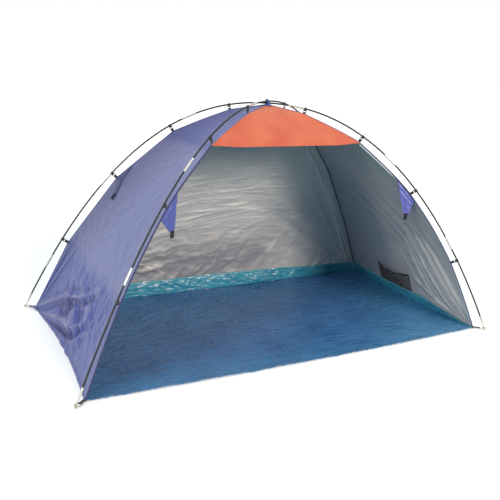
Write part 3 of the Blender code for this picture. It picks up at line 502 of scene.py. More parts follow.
def wall_spot(side, y, z, lift=0.0):
    """The point of a side wall's cloth at a Y and a height."""
    row = row_at(z)
    low, high = seam((side, FRONT), row)[..., 1], seam((side, BACK), row)[..., 1]
    return wall(SIDE_PANEL[side], row, (y - low) / (high - low), lift)


def facing_out(panel, grid):
    """A panel's grid in the order of columns that turns its first face outside."""
    return grid[:, ::-1] if panel in ("left_wall", "back_wall") else grid


# Shader building

class Wire:
    """A socket that can stand in a sum: each operation adds its Math node."""

    def __init__(self, paint, socket):
        self.paint, self.socket = paint, socket

    def maths(self, operation, *terms):
        return self.paint.node("Math", {"operation": operation}, dict(enumerate(terms)))

    def __add__(self, other):
        return self.maths("ADD", self, other)

    def __sub__(self, other):
        return self.maths("SUBTRACT", self, other)

    def __rsub__(self, other):
        return self.maths("SUBTRACT", other, self)

    def __mul__(self, other):
        return self.maths("MULTIPLY", self, other)

    def sine(self):
        return self.maths("SINE", self)

    def limited(self):
        return self.paint.node("Clamp", {}, {"Value": self})

    __radd__, __rmul__ = __add__, __mul__


class Paint:
    """The nodes of a material, or of the world, and short ways to add to them."""

    def __init__(self, owner, **constants):
        self.owner = bpy.data.materials.new(owner) if isinstance(owner, str) else owner
        self.owner.use_nodes = True
        self.tree = self.owner.node_tree
        self.shader = self.tree.nodes.get("Principled BSDF")
        for socket, value in constants.items():
            self.shader.inputs[socket.replace("_", " ")].default_value = value

    def node(self, kind, settings=None, inputs=None, output=0):
        """A node of a type with its settings and the values or wires of its sockets, as a wire."""
        made = self.tree.nodes.new("ShaderNode" + kind)
        for key, value in (settings or {}).items():
            if key == "stops":
                self.fill_ramp(made.color_ramp, value)
            else:
                setattr(made, key, value)
        for key, value in (inputs or {}).items():
            self.feed(made.inputs[key], value)
        return Wire(self, made.outputs[output])

    @staticmethod
    def fill_ramp(ramp, stops):
        for element, (place, shade) in zip(ramp.elements, stops):
            element.position = place
            element.color = (shade, shade, shade, 1.0)

    def feed(self, socket, value):
        if isinstance(value, Wire):
            self.tree.links.new(value.socket, socket)
        elif socket.type == "RGBA" and len(value) == 3:
            socket.default_value = (*value, 1.0)
        else:
            socket.default_value = value

    def put(self, **sockets):
        """Feed the shader's sockets, and give the material."""
        for name, value in sockets.items():
            self.feed(self.shader.inputs[name.replace("_", " ")], value)
        return self.owner

    def cloth(self, across=1.0, along=1.0):
        """Places on the cloth in metres, from its own flat layout, stretched each way."""
        flat = self.node("UVMap", {"uv_map": "cloth"})
        return self.node("VectorMath", {"operation": "MULTIPLY"}, {0: flat, 1: (across, along, 1.0)})

    def place(self, stretch=(1.0, 1.0, 1.0)):
        """Places in the object in metres, stretched each way."""
        own = self.node("TexCoord", {}, {}, "Object")
        return self.node("VectorMath", {"operation": "MULTIPLY"}, {0: own, 1: stretch})

    def at(self, axis):
        return self.node("SeparateXYZ", {}, {0: self.place()}, axis)

    def relief(self):
        """How high the cloth stands in its folds, from -1 to 1 outside, and 0 where it isn't folded."""
        return self.node("Attribute", {"attribute_name": "relief"}, {}, "Fac")

    def speckle(self, vector, scale, detail, rough=0.55):
        return self.node("TexNoise", {}, {"Vector": vector, "Scale": scale, "Detail": detail,
                                          "Roughness": rough})

    def clouds(self, scale, detail=3.0, stretch=(1.0, 1.0, 1.0)):
        """Noise through the object."""
        return self.speckle(self.place(stretch), scale, detail)

    def strokes(self, across, along, scale=1.0, detail=5.0, rough=0.55):
        """Noise over the flat cloth, finer the higher the number of its direction."""
        return self.speckle(self.cloth(across, along), scale, detail, rough)

    def rise(self, value, start, stop):
        """From 0 at a start to 1 at a stop."""
        return self.node("ValToRGB", {"stops": ((start, 0.0), (stop, 1.0))}, {"Fac": value})

    def fall(self, value, start, stop):
        """From 1 at a start to 0 at a stop."""
        return self.node("ValToRGB", {"stops": ((start, 1.0), (stop, 0.0))}, {"Fac": value})

    def blend(self, first, last, share):
        return self.node("Mix", {"data_type": "RGBA"}, {"Factor": share, 6: first, 7: last}, 2)

    def coats(self, shade, *layers):
        """A shade under layers, each a colour and how much of it shows."""
        for colour, share in layers:
            shade = self.blend(shade, colour, share)
        return shade

    def bump(self, height, depth, strength=1.0, over=None):
        sockets = {"Height": height, "Distance": depth, "Strength": strength}
        if over is not None:
            sockets["Normal"] = over
        return self.node("Bump", {}, sockets)

    def weave(self, pitch=THREAD_PITCH):
        """Over and under threads of a plain weave, from -1 to 1."""
        flat, turns = self.cloth(), math.pi / pitch
        return ((self.node("SeparateXYZ", {}, {0: flat}, "X") * turns).sine()
                * (self.node("SeparateXYZ", {}, {0: flat}, "Y") * turns).sine())

    def crinkled(self, crinkle, depth, strength, threads, fine=(0.00008, 0.5)):
        """The normal of crinkled cloth, with its threads on the crinkles."""
        return self.bump(crinkle, depth, strength, self.bump(threads, *fine))


# Finishes

def canopy_finish(name="canopy_outside", deep=(0.040, 0.062, 0.300), pale=(0.158, 0.172, 0.372)):
    """Coated violet-blue taffeta: deeper below the clip level and lighter above it as painted shade and
    light, painted shade towards the back and higher up, a painted highlight on its ridges and painted shade
    in its creases.
    """
    paint = Paint(name, Sheen_Weight=0.08, Sheen_Roughness=0.4, Specular_IOR_Level=0.42)
    relief, height, clouds, threads = paint.relief(), paint.at("Z"), paint.clouds(3.1, 4.0), paint.weave()
    # Lighter above the clip level and deeper below it: painted light and shade where the wall bends at the
    # clip.
    painted_light_above = paint.rise(height + (clouds - 0.5) * 0.06, 0.355, 0.415)
    tone = paint.rise(clouds * 0.25 + paint.strokes(3.0, 14.0, 2.0, 3.0) * 0.15 + painted_light_above * 0.6, 0.16, 0.84)
    # Darker towards the back and higher up: painted shade.
    painted_shade_back_top = paint.rise(paint.at("Y") * 0.8 + height * 0.45, 0.28, 0.70)
    dust = paint.fall(height, 0.0, 0.09) * paint.strokes(1.0, 1.0, 30.0)
    shade = paint.coats(paint.blend(deep, pale, tone),
                        ((0.036, 0.046, 0.155), painted_shade_back_top * 0.85),
                        # Painted highlight on the ridges, painted shade in the creases.
                        ((0.310, 0.280, 0.420), paint.rise(relief, 0.25, 0.95) * 0.60),
                        ((0.010, 0.017, 0.150), paint.rise(relief * -1.0, 0.08, 0.55) * 0.88),
                        ((0.20, 0.19, 0.24), dust * 0.30),
                        ((0.05, 0.06, 0.26), threads * 0.05 + 0.05))
    crinkle = paint.strokes(30.0, 55.0, rough=0.6)
    return paint.put(Base_Color=shade, Roughness=0.27 + 0.12 * clouds + 0.45 * paint.rise(height, 0.97, 1.11),
                     Normal=paint.crinkled(crinkle, 0.0012, 0.7, threads))


def silver_finish():
    """The aluminised inner face: grey with a soft gleam, with painted shade low on the back wall, under the
    eave and at the back of the right wall, painted light on the right wall's front part, and a painted
    highlight on the inner ridges with painted shade in the folds.
    """
    paint = Paint("canopy_inside", Specular_IOR_Level=0.5)
    relief, across, depth, height = paint.relief(), paint.at("X"), paint.at("Y"), paint.at("Z")
    clouds, scuffs, threads = paint.clouds(2.2, 4.0), paint.strokes(9.0, 60.0), paint.weave()
    tone = paint.rise(clouds * 0.6 + scuffs * 0.4, 0.35, 0.65)
    # Darker low on the back wall, except towards its right end: painted shade.
    painted_shade_low = paint.fall(height + (scuffs - 0.5) * 0.20, 0.22, 0.46)
    rear, inner = paint.rise(depth, 0.42, 0.50), paint.fall(across, 0.26, 0.52)
    # Darker towards the top: painted shadow of the eave.
    above = paint.rise(height + (clouds - 0.5) * 0.10, 0.74, 0.96)
    # Warmer on the right wall: painted light on its front part; darker towards its back: painted shade.
    beyond, behind = paint.rise(across, 0.50, 0.70), paint.rise(depth, 0.0, 0.10)
    shade = paint.coats(paint.blend((0.410, 0.425, 0.430), (0.520, 0.520, 0.505), tone),
                        ((0.160, 0.168, 0.195), painted_shade_low * rear * inner * 0.85),
                        ((0.270, 0.300, 0.310), above * 0.60),
                        ((0.510, 0.460, 0.455), beyond * 0.60),
                        ((0.315, 0.360, 0.395), beyond * behind * 0.80),
                        # Painted highlight on the inner ridges, painted shade in the folds.
                        ((0.640, 0.630, 0.600), paint.rise(relief * -1.0, 0.12, 0.90) * 0.50),
                        ((0.250, 0.262, 0.285), paint.rise(relief, 0.12, 0.90) * 0.55),
                        ((0.22, 0.24, 0.26), threads * 0.03 + 0.03))
    crinkle = paint.strokes(26.0, 95.0, rough=0.6)
    return paint.put(Base_Color=shade, Metallic=0.06 + 0.14 * tone, Roughness=0.50 + 0.14 * scuffs,
                     Normal=paint.crinkled(crinkle, 0.0016, 0.6, threads))


def eave_finish():
    """Orange taffeta, a little paler where the light has bleached it."""
    paint = Paint("eave_outside", Sheen_Weight=0.10, Sheen_Roughness=0.5, Specular_IOR_Level=0.3)
    clouds, threads = paint.clouds(5.0, 4.0), paint.weave()
    shade = paint.blend((0.50, 0.098, 0.048), (0.60, 0.150, 0.078), paint.rise(clouds, 0.35, 0.65))
    return paint.put(Base_Color=paint.blend(shade, (0.60, 0.11, 0.06), threads * 0.04 + 0.04),
                     Roughness=0.5 + 0.15 * clouds,
                     Normal=paint.crinkled(paint.strokes(20.0, 60.0, detail=4.0), 0.0008, 0.5, threads))


def sheeting_finish(name, deep, pale, rough, depth, front=0.0, right=0.0, wrinkles=(30.0, 44.0, 6.0),
                    painted_glints=0.0):
    """Woven polyethylene sheet: flat tapes under a film, with a plastic gloss and pressed creases, and at
    will painted light to the front and right, painted glints and painted shade at the left.
    """
    paint = Paint(name, Specular_IOR_Level=0.5)
    across, far, clouds = paint.at("X"), paint.at("Y"), paint.clouds(3.2, 5.0)
    streaks, threads = paint.strokes(4.0, 26.0, 1.6, 4.0), paint.weave(0.0011)
    shade = paint.blend(deep, pale, paint.rise(clouds * 0.55 + streaks * 0.45, 0.38, 0.62))
    # Lighter towards the front edge: painted light.
    if front:
        near = paint.rise(-0.70 * far + clouds * 0.10, 0.29, 0.46)
        shade = paint.blend(shade, (0.080, 0.290, 0.520), near * front)
    # Lighter towards the right: painted light.
    if right:
        beyond = paint.rise(across * 0.7 - far * 0.3 + clouds * 0.1, 0.46, 0.78)
        shade = paint.blend(shade, (0.120, 0.440, 0.640), beyond * right)
    if painted_glints:
        # Pale flecks at the back left: painted glints.
        painted_glint_mask = paint.rise(paint.strokes(13.0, 90.0, detail=4.0), 0.58, 0.64)
        rear_left = paint.rise(far, 0.40, 0.46) * paint.fall(across, 0.35, 0.60)
        # Darker along the left wall: painted shade.
        painted_shade_left = paint.fall(across + 1.0, 0.05, 0.55)
        shade = paint.coats(shade, ((0.80, 0.88, 0.90), painted_glint_mask * rear_left * painted_glints),
                            ((0.012, 0.100, 0.185), painted_shade_left * 0.5))
    finer, finest, detail = wrinkles
    wrinkle = paint.strokes(finer, finest, detail=detail, rough=0.62)
    return paint.put(Base_Color=paint.blend(shade, (0.03, 0.07, 0.13), threads * 0.06 + 0.06),
                     Roughness=rough + 0.18 * streaks,
                     Normal=paint.crinkled(wrinkle, depth, 0.8, threads, (0.00012, 0.6)))


def tape_finish(name, deep, pale, pitch=0.0011):
    """Woven tape or webbing with a rib across it."""
    paint = Paint(name, Sheen_Weight=0.2, Specular_IOR_Level=0.25)
    ribs, fuzz = paint.weave(pitch), paint.strokes(1.0, 1.0, 260.0, 4.0)
    return paint.put(Base_Color=paint.blend(deep, pale, (ribs * 0.35 + fuzz * 0.8).limited()),
                     Roughness=0.75 + 0.15 * fuzz, Normal=paint.bump(ribs + fuzz * 0.6, 0.0002, 0.8))


def strand_finish(name, deep, pale, scale, detail, rough, strength, **constants):
    """Thread, net and braid: fuzzy strands, darker between their fibres."""
    paint = Paint(name, **constants)
    fuzz = paint.clouds(scale, detail)
    return paint.put(Base_Color=paint.blend(deep, pale, fuzz), Roughness=rough + 0.2 * fuzz,
                     Normal=paint.bump(fuzz, 0.0001, strength))


def thread_finish(name, colour):
    dark = tuple(part * 0.6 for part in colour)
    return strand_finish(name, dark, colour, 1500.0, 2.0, 0.6, 0.6, Sheen_Weight=0.2)


def fibreglass_finish():
    """Dark pultruded rod: fine lengthwise fibres under resin, rubbed paler by the clips."""
    paint = Paint("fibreglass", Specular_IOR_Level=0.15, Coat_Roughness=0.4)
    fibres = paint.clouds(1.0, 3.0, (60.0, 60.0, 900.0))
    rubbed = paint.rise(paint.clouds(22.0, 5.0), 0.52, 0.70)
    shade = paint.blend((0.012, 0.015, 0.012), (0.036, 0.041, 0.035), fibres)
    return paint.put(Base_Color=paint.blend(shade, (0.10, 0.11, 0.09), rubbed * 0.4),
                     Roughness=0.50 + 0.25 * rubbed, Coat_Weight=0.05 * (1 - rubbed),
                     Normal=paint.bump(fibres, 0.00006, 0.5))


def steel_finish(name, bright):
    """Bright plated steel with drawn scratches and dull spots."""
    paint = Paint(name)
    lines = paint.clouds(1.0, 3.0, (900.0, 900.0, 60.0))
    spots = paint.rise(paint.clouds(140.0, 5.0), 0.50, 0.72)
    dull = tuple(part * 0.72 for part in bright)
    return paint.put(Base_Color=paint.blend(bright, dull, spots * 0.6), Metallic=1.0 - 0.3 * spots,
                     Roughness=0.30 + 0.15 * lines + 0.2 * spots, Normal=paint.bump(lines, 0.00004, 0.4))


def plastic_finish():
    """Moulded black plastic with a fine spark texture and paler scuffs."""
    paint = Paint("clip_plastic", Specular_IOR_Level=0.45)
    grain, scuffs = paint.clouds(1400.0), paint.rise(paint.clouds(160.0, 5.0), 0.56, 0.74)
    shade = paint.blend((0.010, 0.010, 0.012), (0.060, 0.060, 0.062), scuffs * 0.6 + grain * 0.08)
    return paint.put(Base_Color=shade, Roughness=0.36 + 0.25 * scuffs + 0.08 * grain,
                     Normal=paint.bump(grain, 0.00006, 0.5))


CANOPY = canopy_finish()
TAB_CLOTH = canopy_finish("tab_cloth", (0.050, 0.060, 0.300), (0.105, 0.115, 0.400))
# Darker copies of the tab cloth: painted shade for the left tabs and the crown gather.
SHADED_TAB_CLOTH = canopy_finish("tab_cloth_worn", (0.018, 0.034, 0.170), (0.080, 0.100, 0.350))
DEEPER_SHADED_TAB_CLOTH = canopy_finish("tab_cloth_dark", (0.006, 0.008, 0.040), (0.022, 0.026, 0.100))
SILVER = silver_finish()
EAVE = eave_finish()
# The groundsheet, with painted light towards its front and its right.
SHEETING = sheeting_finish("groundsheet_film", (0.030, 0.110, 0.290), (0.060, 0.185, 0.420), rough=0.20,
                           depth=0.0022, front=0.45, right=0.26)
# The upstand, with painted glints at its back left, painted shade on the left wall and painted light to the
# right.
STRIP = sheeting_finish("upstand_film", (0.018, 0.180, 0.290), (0.055, 0.330, 0.440), rough=0.02,
                        depth=0.0080, right=0.15, wrinkles=(12.0, 46.0, 2.5), painted_glints=0.7)
# Its top hem, with painted glints along the back left.
STRIP_HEM = sheeting_finish("upstand_hem", (0.030, 0.250, 0.340), (0.120, 0.420, 0.480), rough=0.02,
                            depth=0.0040, right=0.15, wrinkles=(18.0, 46.0, 2.0), painted_glints=1.0)
NAVY_TAPE = tape_finish("edge_binding", (0.028, 0.030, 0.090), (0.065, 0.068, 0.180))
PALE_TAPE = tape_finish("edge_facing", (0.66, 0.66, 0.70), (0.82, 0.82, 0.85))
SEAM_TAPE = tape_finish("seam_tape", (0.030, 0.055, 0.080), (0.075, 0.115, 0.150))
BLACK_WEBBING = tape_finish("black_webbing", (0.006, 0.006, 0.007), (0.030, 0.030, 0.033), 0.0014)
BLUE_TAPE = tape_finish("crown_tape", (0.030, 0.055, 0.230), (0.070, 0.120, 0.400), 0.0009)
POCKET_TAPE = tape_finish("pocket_binding", (0.008, 0.008, 0.010), (0.030, 0.030, 0.036))
PALE_THREAD = thread_finish("pale_thread", (0.42, 0.43, 0.62))
GREY_THREAD = thread_finish("grey_thread", (0.55, 0.56, 0.56))
DARK_THREAD = thread_finish("dark_thread", (0.05, 0.05, 0.06))
ORANGE_THREAD = thread_finish("orange_thread", (0.75, 0.22, 0.12))
NET = strand_finish("net_strands", (0.045, 0.040, 0.040), (0.110, 0.100, 0.100), 900.0, 3.0, 0.7, 0.6,
                    Specular_IOR_Level=0.2)
CORD = strand_finish("shock_cord_braid", (0.48, 0.48, 0.46), (0.78, 0.78, 0.74), 1100.0, 3.0, 0.7, 0.8,
                     Sheen_Weight=0.2)
ROD = fibreglass_finish()
BRIGHT_STEEL = steel_finish("ferrule_steel", (0.50, 0.51, 0.46))
WIRE_STEEL = steel_finish("wire_steel", (0.36, 0.38, 0.26))
PLASTIC = plastic_finish()


# Pieces

def add_piece(name, mesh, finishes, replaces=(), body="tent"):
    """Link a piece, give it its finishes, and say what it rides on and stands for."""
    piece = bpy.data.objects.new(name, mesh)
    bpy.context.scene.collection.objects.link(piece)
    for finish in finishes if isinstance(finishes, list) else [finishes]:
        mesh.materials.append(finish)
    if body:
        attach(piece, body)
    if replaces:
        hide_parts(*replaces)
    return piece


def thicken(piece, thickness=PLY, offset=0.0, inner=0):
    """Give a surface its ply; the inner face may take the next finish."""
    solid = piece.modifiers.new("ply", "SOLIDIFY")
    solid.thickness = thickness
    solid.offset = offset
    solid.material_offset = inner
    solid.use_quality_normals = True
    return piece


def add_ply(name, grid, finish, replaces=(), body="tent", thickness=PLY):
    """A piece of cloth, tape or webbing over a grid of points."""
    return thicken(add_piece(name, surface(grid), finish, replaces, body), thickness)


def surface(grid):
    """A mesh over a grid of points, with its flat layout in metres; faces look to rows x columns."""
    rows, columns = grid.shape[:2]
    index = np.arange(rows * columns).reshape(rows, columns)
    quads = np.stack([index[:-1, :-1], index[:-1, 1:], index[1:, 1:], index[1:, :-1]], axis=-1).reshape(-1, 4)
    mesh = bpy.data.meshes.new("cloth")
    mesh.from_pydata(grid.reshape(-1, 3).tolist(), [], quads.tolist())
    steps = np.linalg.norm(np.diff(grid, axis=1), axis=2)
    least = steps[rows // 2].mean() * 0.01
    across = np.concatenate([np.zeros((rows, 1)), np.cumsum(np.maximum(steps, least), axis=1)], axis=1)
    across -= across[:, -1:] / 2
    along = np.broadcast_to(lengths(grid[:, columns // 2])[:, None], (rows, columns))
    flat = np.stack([across, along], axis=-1).reshape(-1, 2)
    layer = mesh.uv_layers.new(name="cloth")
    corners = np.array([loop.vertex_index for loop in mesh.loops])
    layer.uv.foreach_set("vector", flat[corners].astype(np.float32).ravel())
    mesh.shade_smooth()
    return mesh


def band(path, across, width, steps=4):
    """A flat band along a path of points."""
    shares = np.linspace(-0.5, 0.5, steps + 1)
    return np.stack([[point + across * width * share for share in shares] for point in path])


def stitches(name, runs, finish, body="tent"):
    """Rows of stitches in one mesh: each run is its points and the direction off the cloth."""
    points, faces = [], []
    for line, off in runs:
        marks = lengths(line)
        off = np.broadcast_to(off, line.shape)
        for start in np.arange(STITCH_GAP, marks[-1] - STITCH, STITCH + STITCH_GAP):
            near, far = (along_run(line, marks, mark) for mark in (start, start + STITCH))
            lift = unit(along_run(off, marks, start))
            side = unit(np.cross(far - near, lift)) * THREAD
            middle = (near + far) / 2
            first = len(points)
            points += [near, far, middle + side, middle - side]
            points += [middle + lift * THREAD * 1.6, middle - lift * THREAD]
            faces += [[first + k for k in trio] for trio in STITCH_FACES]
    mesh = bpy.data.meshes.new(name)
    mesh.from_pydata([tuple(point) for point in points], [], faces)
    return add_piece(name, mesh, finish, body=body)


def turned(name, route, profile, finish, replaces=(), sides=16, step=0.012):
    """A round bar or sleeve along a route, from its (distance, radius) pairs."""
    points, marks = route
    stations = []
    for (start, low), (stop, high) in zip(profile, profile[1:]):
        count = max(1, int(abs(stop - start) / step))
        shares = [k / count for k in range(count)]
        stations += [(start + (stop - start) * share, low + (high - low) * share) for share in shares]
    stations.append(profile[-1])
    turn = np.linspace(0, TAU, sides, endpoint=False)[:, None]
    rings = []
    for mark, radius in stations:
        before, after = (along_run(points, marks, near) for near in (max(mark - 0.004, 0.0),
                                                                     min(mark + 0.004, marks[-1])))
        ahead = unit(after - before)
        side = unit(np.cross(ahead, UP))
        ring = np.cos(turn) * side + np.sin(turn) * np.cross(side, ahead)
        rings.append(along_run(points, marks, mark) + radius * ring)
    return add_piece(name, loft(rings), finish, replaces)


def loft(rings):
    """A mesh through rings of points, closed round each ring and at both ends."""
    count, sides = len(rings), len(rings[0])
    faces = [[low + j, low + (j + 1) % sides, low + sides + (j + 1) % sides, low + sides + j]
             for low in range(0, (count - 1) * sides, sides) for j in range(sides)]
    faces += [list(range(sides))[::-1], list(range((count - 1) * sides, count * sides))]
    mesh = bpy.data.meshes.new("loft")
    mesh.from_pydata([tuple(point) for ring in rings for point in ring], [], faces)
    mend(mesh)
    mesh.shade_smooth()
    mesh.set_sharp_from_angle(angle=math.radians(50))
    return mesh


def mend(mesh, weld=None):
    """Turn all faces of a closed mesh outside, after welding points that meet."""
    shape = bmesh.new()
    shape.from_mesh(mesh)
    if weld:
        bmesh.ops.remove_doubles(shape, verts=shape.verts, dist=weld)
    bmesh.ops.recalc_face_normals(shape, faces=shape.faces)
    shape.to_mesh(mesh)
    shape.free()
    return mesh


def closed_surface(rings):
    """A tube's mesh through runs of points, the last run joined to the first."""
    return mend(surface(np.stack([*rings, rings[0]])), WELD)


def wire(points, radius, closed=False):
    """A round wire through points, as a mesh."""
    points = np.asarray(points, float)
    ahead = np.gradient(points, axis=0)
    if closed:
        ahead = np.roll(points, -1, axis=0) - np.roll(points, 1, axis=0)
    ahead = unit(ahead)
    side = unit(np.cross(ahead[0], UP if abs(ahead[0][2]) < 0.9 else np.array([1.0, 0, 0])))
    turn = np.linspace(0, TAU, 12, endpoint=False)[:, None]
    rings = []
    for point, way in zip(points, ahead):
        side = unit(side - way * side.dot(way))
        rings.append(point + radius * (np.cos(turn) * side + np.sin(turn) * np.cross(way, side)))
    return closed_surface(rings) if closed else loft(rings)


def joined(*meshes):
    """Several meshes as one."""
    shape = bmesh.new()
    for mesh in meshes:
        shape.from_mesh(mesh)
    whole = bpy.data.meshes.new("joined")
    shape.to_mesh(whole)
    shape.free()
    return whole


def frame_matrix(place, x_axis, y_axis, z_axis):
    matrix = Matrix([list(x_axis), list(y_axis), list(z_axis)]).transposed().to_4x4()
    matrix.translation = Vector(place)
    return matrix


def plate(outline, holes, thickness, bevel):
    """A moulded plate in the XY plane from its outline and holes, with its edges rounded."""
    curve = bpy.data.curves.new("plate", "CURVE")
    curve.dimensions = "2D"
    curve.fill_mode = "BOTH"
    curve.extrude = thickness / 2 - bevel
    curve.bevel_depth = bevel
    curve.bevel_resolution = 2
    curve.offset = -bevel
    for ring in (outline, *holes):
        spline = curve.splines.new("POLY")
        spline.points.add(len(ring) - 1)
        for point, (x, y) in zip(spline.points, ring):
            point.co = (x, y, 0.0, 1.0)
        spline.use_cyclic_u = True
    holder = bpy.data.objects.new("plate", curve)
    bpy.context.scene.collection.objects.link(holder)
    bpy.context.view_layer.update()
    mesh = bpy.data.meshes.new_from_object(holder.evaluated_get(bpy.context.evaluated_depsgraph_get()))
    bpy.data.objects.remove(holder, do_unlink=True)
    bpy.data.curves.remove(curve)
    mend(mesh, WELD)
    mesh.shade_smooth()
    mesh.set_sharp_from_angle(angle=math.radians(40))
    return mesh


def box_ring(width, height, corner, steps=3):
    """A rectangle with round corners, as a ring of points round its middle."""
    ring = []
    for quarter, (x, y) in enumerate(((1, 1), (-1, 1), (-1, -1), (1, -1))):
        centre = np.array([x * (width / 2 - corner), y * (height / 2 - corner)])
        start = quarter * math.pi / 2
        ring += [tuple(centre + p) for p in arc(corner, start, start + math.pi / 2, steps)]
    return ring


# Canopy

def make_panel(panel, rows, columns, finish, low_row=0.0):
    """One panel of the canopy, its outer face in its colour and its inner face silver."""
    levels = low_row + (TOP_ROW - low_row) * np.linspace(0, 1, rows) ** FINER_LOW
    row, across = levels[:, None], np.linspace(0.0, 1.0, columns)[None, :]
    first, last = PANELS[panel]
    width = np.linalg.norm(seam(last, levels) - seam(first, levels), axis=1)[:, None]
    # The fold heights, kept on the mesh as relief, paint a highlight on the ridges and shade in the creases.
    relief = panel_folds(panel, row, across, width) / FOLDS[panel][1]
    mesh = surface(facing_out(panel, wall(panel, row, across)))
    layer = mesh.attributes.new("relief", "FLOAT", "POINT")
    layer.data.foreach_set("value", np.clip(facing_out(panel, relief), -1, 1).astype(np.float32).ravel())
    name = panel.replace("_panel", "") + "_cloth"
    return thicken(add_piece(name, mesh, [finish, SILVER], [panel]), inner=1)


def make_canopy():
    """The four panels, each a sheet held stretched between the clips of its two seams."""
    left = make_panel("left_wall", 360, 260, CANOPY)
    right = make_panel("right_wall", 360, 260, CANOPY)
    back = make_panel("back_wall", 400, 380, CANOPY)
    eave = make_panel("eave_panel", 70, 100, EAVE, EAVE_ROW)


def make_hems():
    """The turned-up bottom edge of each wall, on its outside, with a row of stitches."""
    runs = []
    across = np.linspace(0.006, 0.994, 160)
    rows = row_at(np.array([0.0, 0.25, 0.5, 0.75, 1.0]) * HEM)
    lift = np.array([0.0009, 0.0012, 0.0012, 0.0010, 0.0005])
    for panel in ("left_wall", "right_wall", "back_wall"):
        grid = facing_out(panel, wall(panel, rows[:, None], across[None, :], lift[:, None]))
        add_ply(f"{panel}_hem", grid, CANOPY)
        line = wall(panel, row_at(0.8 * HEM), across, 0.0014)
        runs.append((line, unit(line - wall(panel, row_at(0.8 * HEM), across))))
    stitches("hem_stitches", runs, PALE_THREAD)


def seam_cover(name, corner, rows, lift, width, finish):
    """A tape that lies over a seam, folded down on both panels, and the lines to sew it along."""
    side, end = corner
    centre = seam(corner, rows)
    out = unit(centre - seam_inset(corner, rows, 0.01))
    arms = []
    for panel in (SIDE_PANEL[side], END_PANEL[end]):
        first, last = PANELS[panel]
        breadth = np.linalg.norm(seam(last, rows) - seam(first, rows), axis=-1)
        held = 0.0 if first == corner else 1.0
        edge = abs(held - np.minimum(width / 2 / breadth, 0.4))
        arms.append([wall(panel, rows, share, lift) for share in (edge, mix(edge, held, 0.55))])
    grid = np.stack([*arms[0], centre + out * (lift * 1.25), *arms[1][::-1]])
    if (side * end > 0) == (lift > 0):
        grid = grid[::-1]
    add_ply(name, grid, finish, thickness=TAPE)
    off = out * (1 if lift > 0 else -1)
    return [(arm[1] + off * 0.0007, off) for arm in arms]


def make_seams():
    """Felled seams outside and tapes inside, where the walls and the eave meet."""
    outside, inside = [], []
    for name, corner in CORNERS.items():
        low, count = (0.02, 150) if corner[1] == BACK else (EAVE_ROW, 70)
        rows = np.linspace(low, TOP_ROW - 0.03, count)
        outside += seam_cover(f"seam_{name}_outside", corner, rows, 0.0011, SEAM_WIDTH, CANOPY)
        inside += seam_cover(f"seam_{name}_inside", corner, rows, -0.0013, 1.3 * SEAM_WIDTH, SEAM_TAPE)
    stitches("seam_stitches_outside", outside, PALE_THREAD)
    stitches("seam_stitches_inside", inside, DARK_THREAD)


def make_front_bindings():
    """The dark tape folded over each front edge of the side walls, and the facing behind it."""
    runs = []
    wrap = [(-0.0005, -0.0016), (-0.0012, 0.0), (-0.0004, 0.0017), (0.30 * BINDING_WIDTH, 0.0021),
            (0.75 * BINDING_WIDTH, 0.0019), (BINDING_WIDTH, 0.0009), (BINDING_WIDTH, -0.0006),
            (0.5 * BINDING_WIDTH, -0.0016)]
    rows = np.linspace(0.012, EAVE_ROW - 0.004, 150)
    wave = 0.0006 * drift(np.linspace(0, 40, len(rows)), np.zeros(len(rows)), 41)[:, None]
    for name, side in SIDES.items():
        edge = seam((side, FRONT), rows)
        along = unit(np.gradient(edge, axis=0))
        level = np.array([-side, 0.0, 0.0])
        inward = unit(level - along * (along * level).sum(axis=1, keepdims=True))
        ahead = np.cross(along, inward) * side
        ahead = ahead * np.where(ahead[:, 1:2] < 0, 1, -1)
        mesh = closed_surface([edge + inward * x + ahead * (y + wave) for x, y in wrap])
        add_piece(f"edge_binding_{name}", mesh, NAVY_TAPE, [f"front_binding_{name}"])
        runs.append((edge + inward * 0.8 * BINDING_WIDTH + ahead * 0.0022, ahead))
        width = np.linalg.norm(seam((side, BACK), rows) - edge, axis=1).mean()
        rolled = smooth((rows - TAB_KNOT - 0.15) / 0.25) * (0.0100 if side == RIGHT else 0.0)
        grid = np.stack([wall(SIDE_PANEL[side], rows, depth / width, -0.0011 - rolled * roll)
                         for depth, roll in FACING_ROLL])
        add_ply(f"edge_facing_{name}", grid if side == LEFT else grid[::-1], PALE_TAPE)
        runs.append((wall(SIDE_PANEL[side], rows, 0.012 / width, -0.0016), level))
    stitches("binding_stitches", runs, DARK_THREAD)


def make_eave_hem():
    """The turned hem along the eave's free edge."""
    across = np.linspace(0.004, 0.996, 120)
    rows = EAVE_ROW + np.array([-0.002, -0.004, -0.002, 0.010, 0.022, 0.030])
    lifts = np.array([-0.0014, 0.0, 0.0014, 0.0013, 0.0011, 0.0006])
    grid = np.stack([wall("eave_panel", row, across, lift) for row, lift in zip(rows, lifts)])
    add_ply("eave_hem", grid, EAVE)
    line = wall("eave_panel", EAVE_ROW + 0.025, across, 0.0015)
    out = unit(line - wall("eave_panel", EAVE_ROW + 0.025, across))
    stitches("eave_stitches", [(line, out)], ORANGE_THREAD)


# Groundsheet

def floor_grid(columns, rows):
    """The groundsheet between the feet of the walls, level but for its creases."""
    foot, far, across = row_at(0.002), np.linspace(0, 1, rows), np.linspace(0, 1, columns)
    left, right = (wall(panel, foot, far, -0.003) for panel in ("left_wall", "right_wall"))
    back = wall("back_wall", foot, across, -0.003)
    front = left[0] + (right[0] - left[0]) * across[:, None]
    front[:, 1] -= FRONT_BOW * np.sin(math.pi * across) ** 0.7
    v, u = unit_grid(rows, columns)
    sides = between(left[:, None], right[:, None], u)
    ends = between(front[None], back[None], v)
    corners = between(between(left[0], right[0], u), between(left[-1], right[-1], u), v)
    return sides + ends - corners


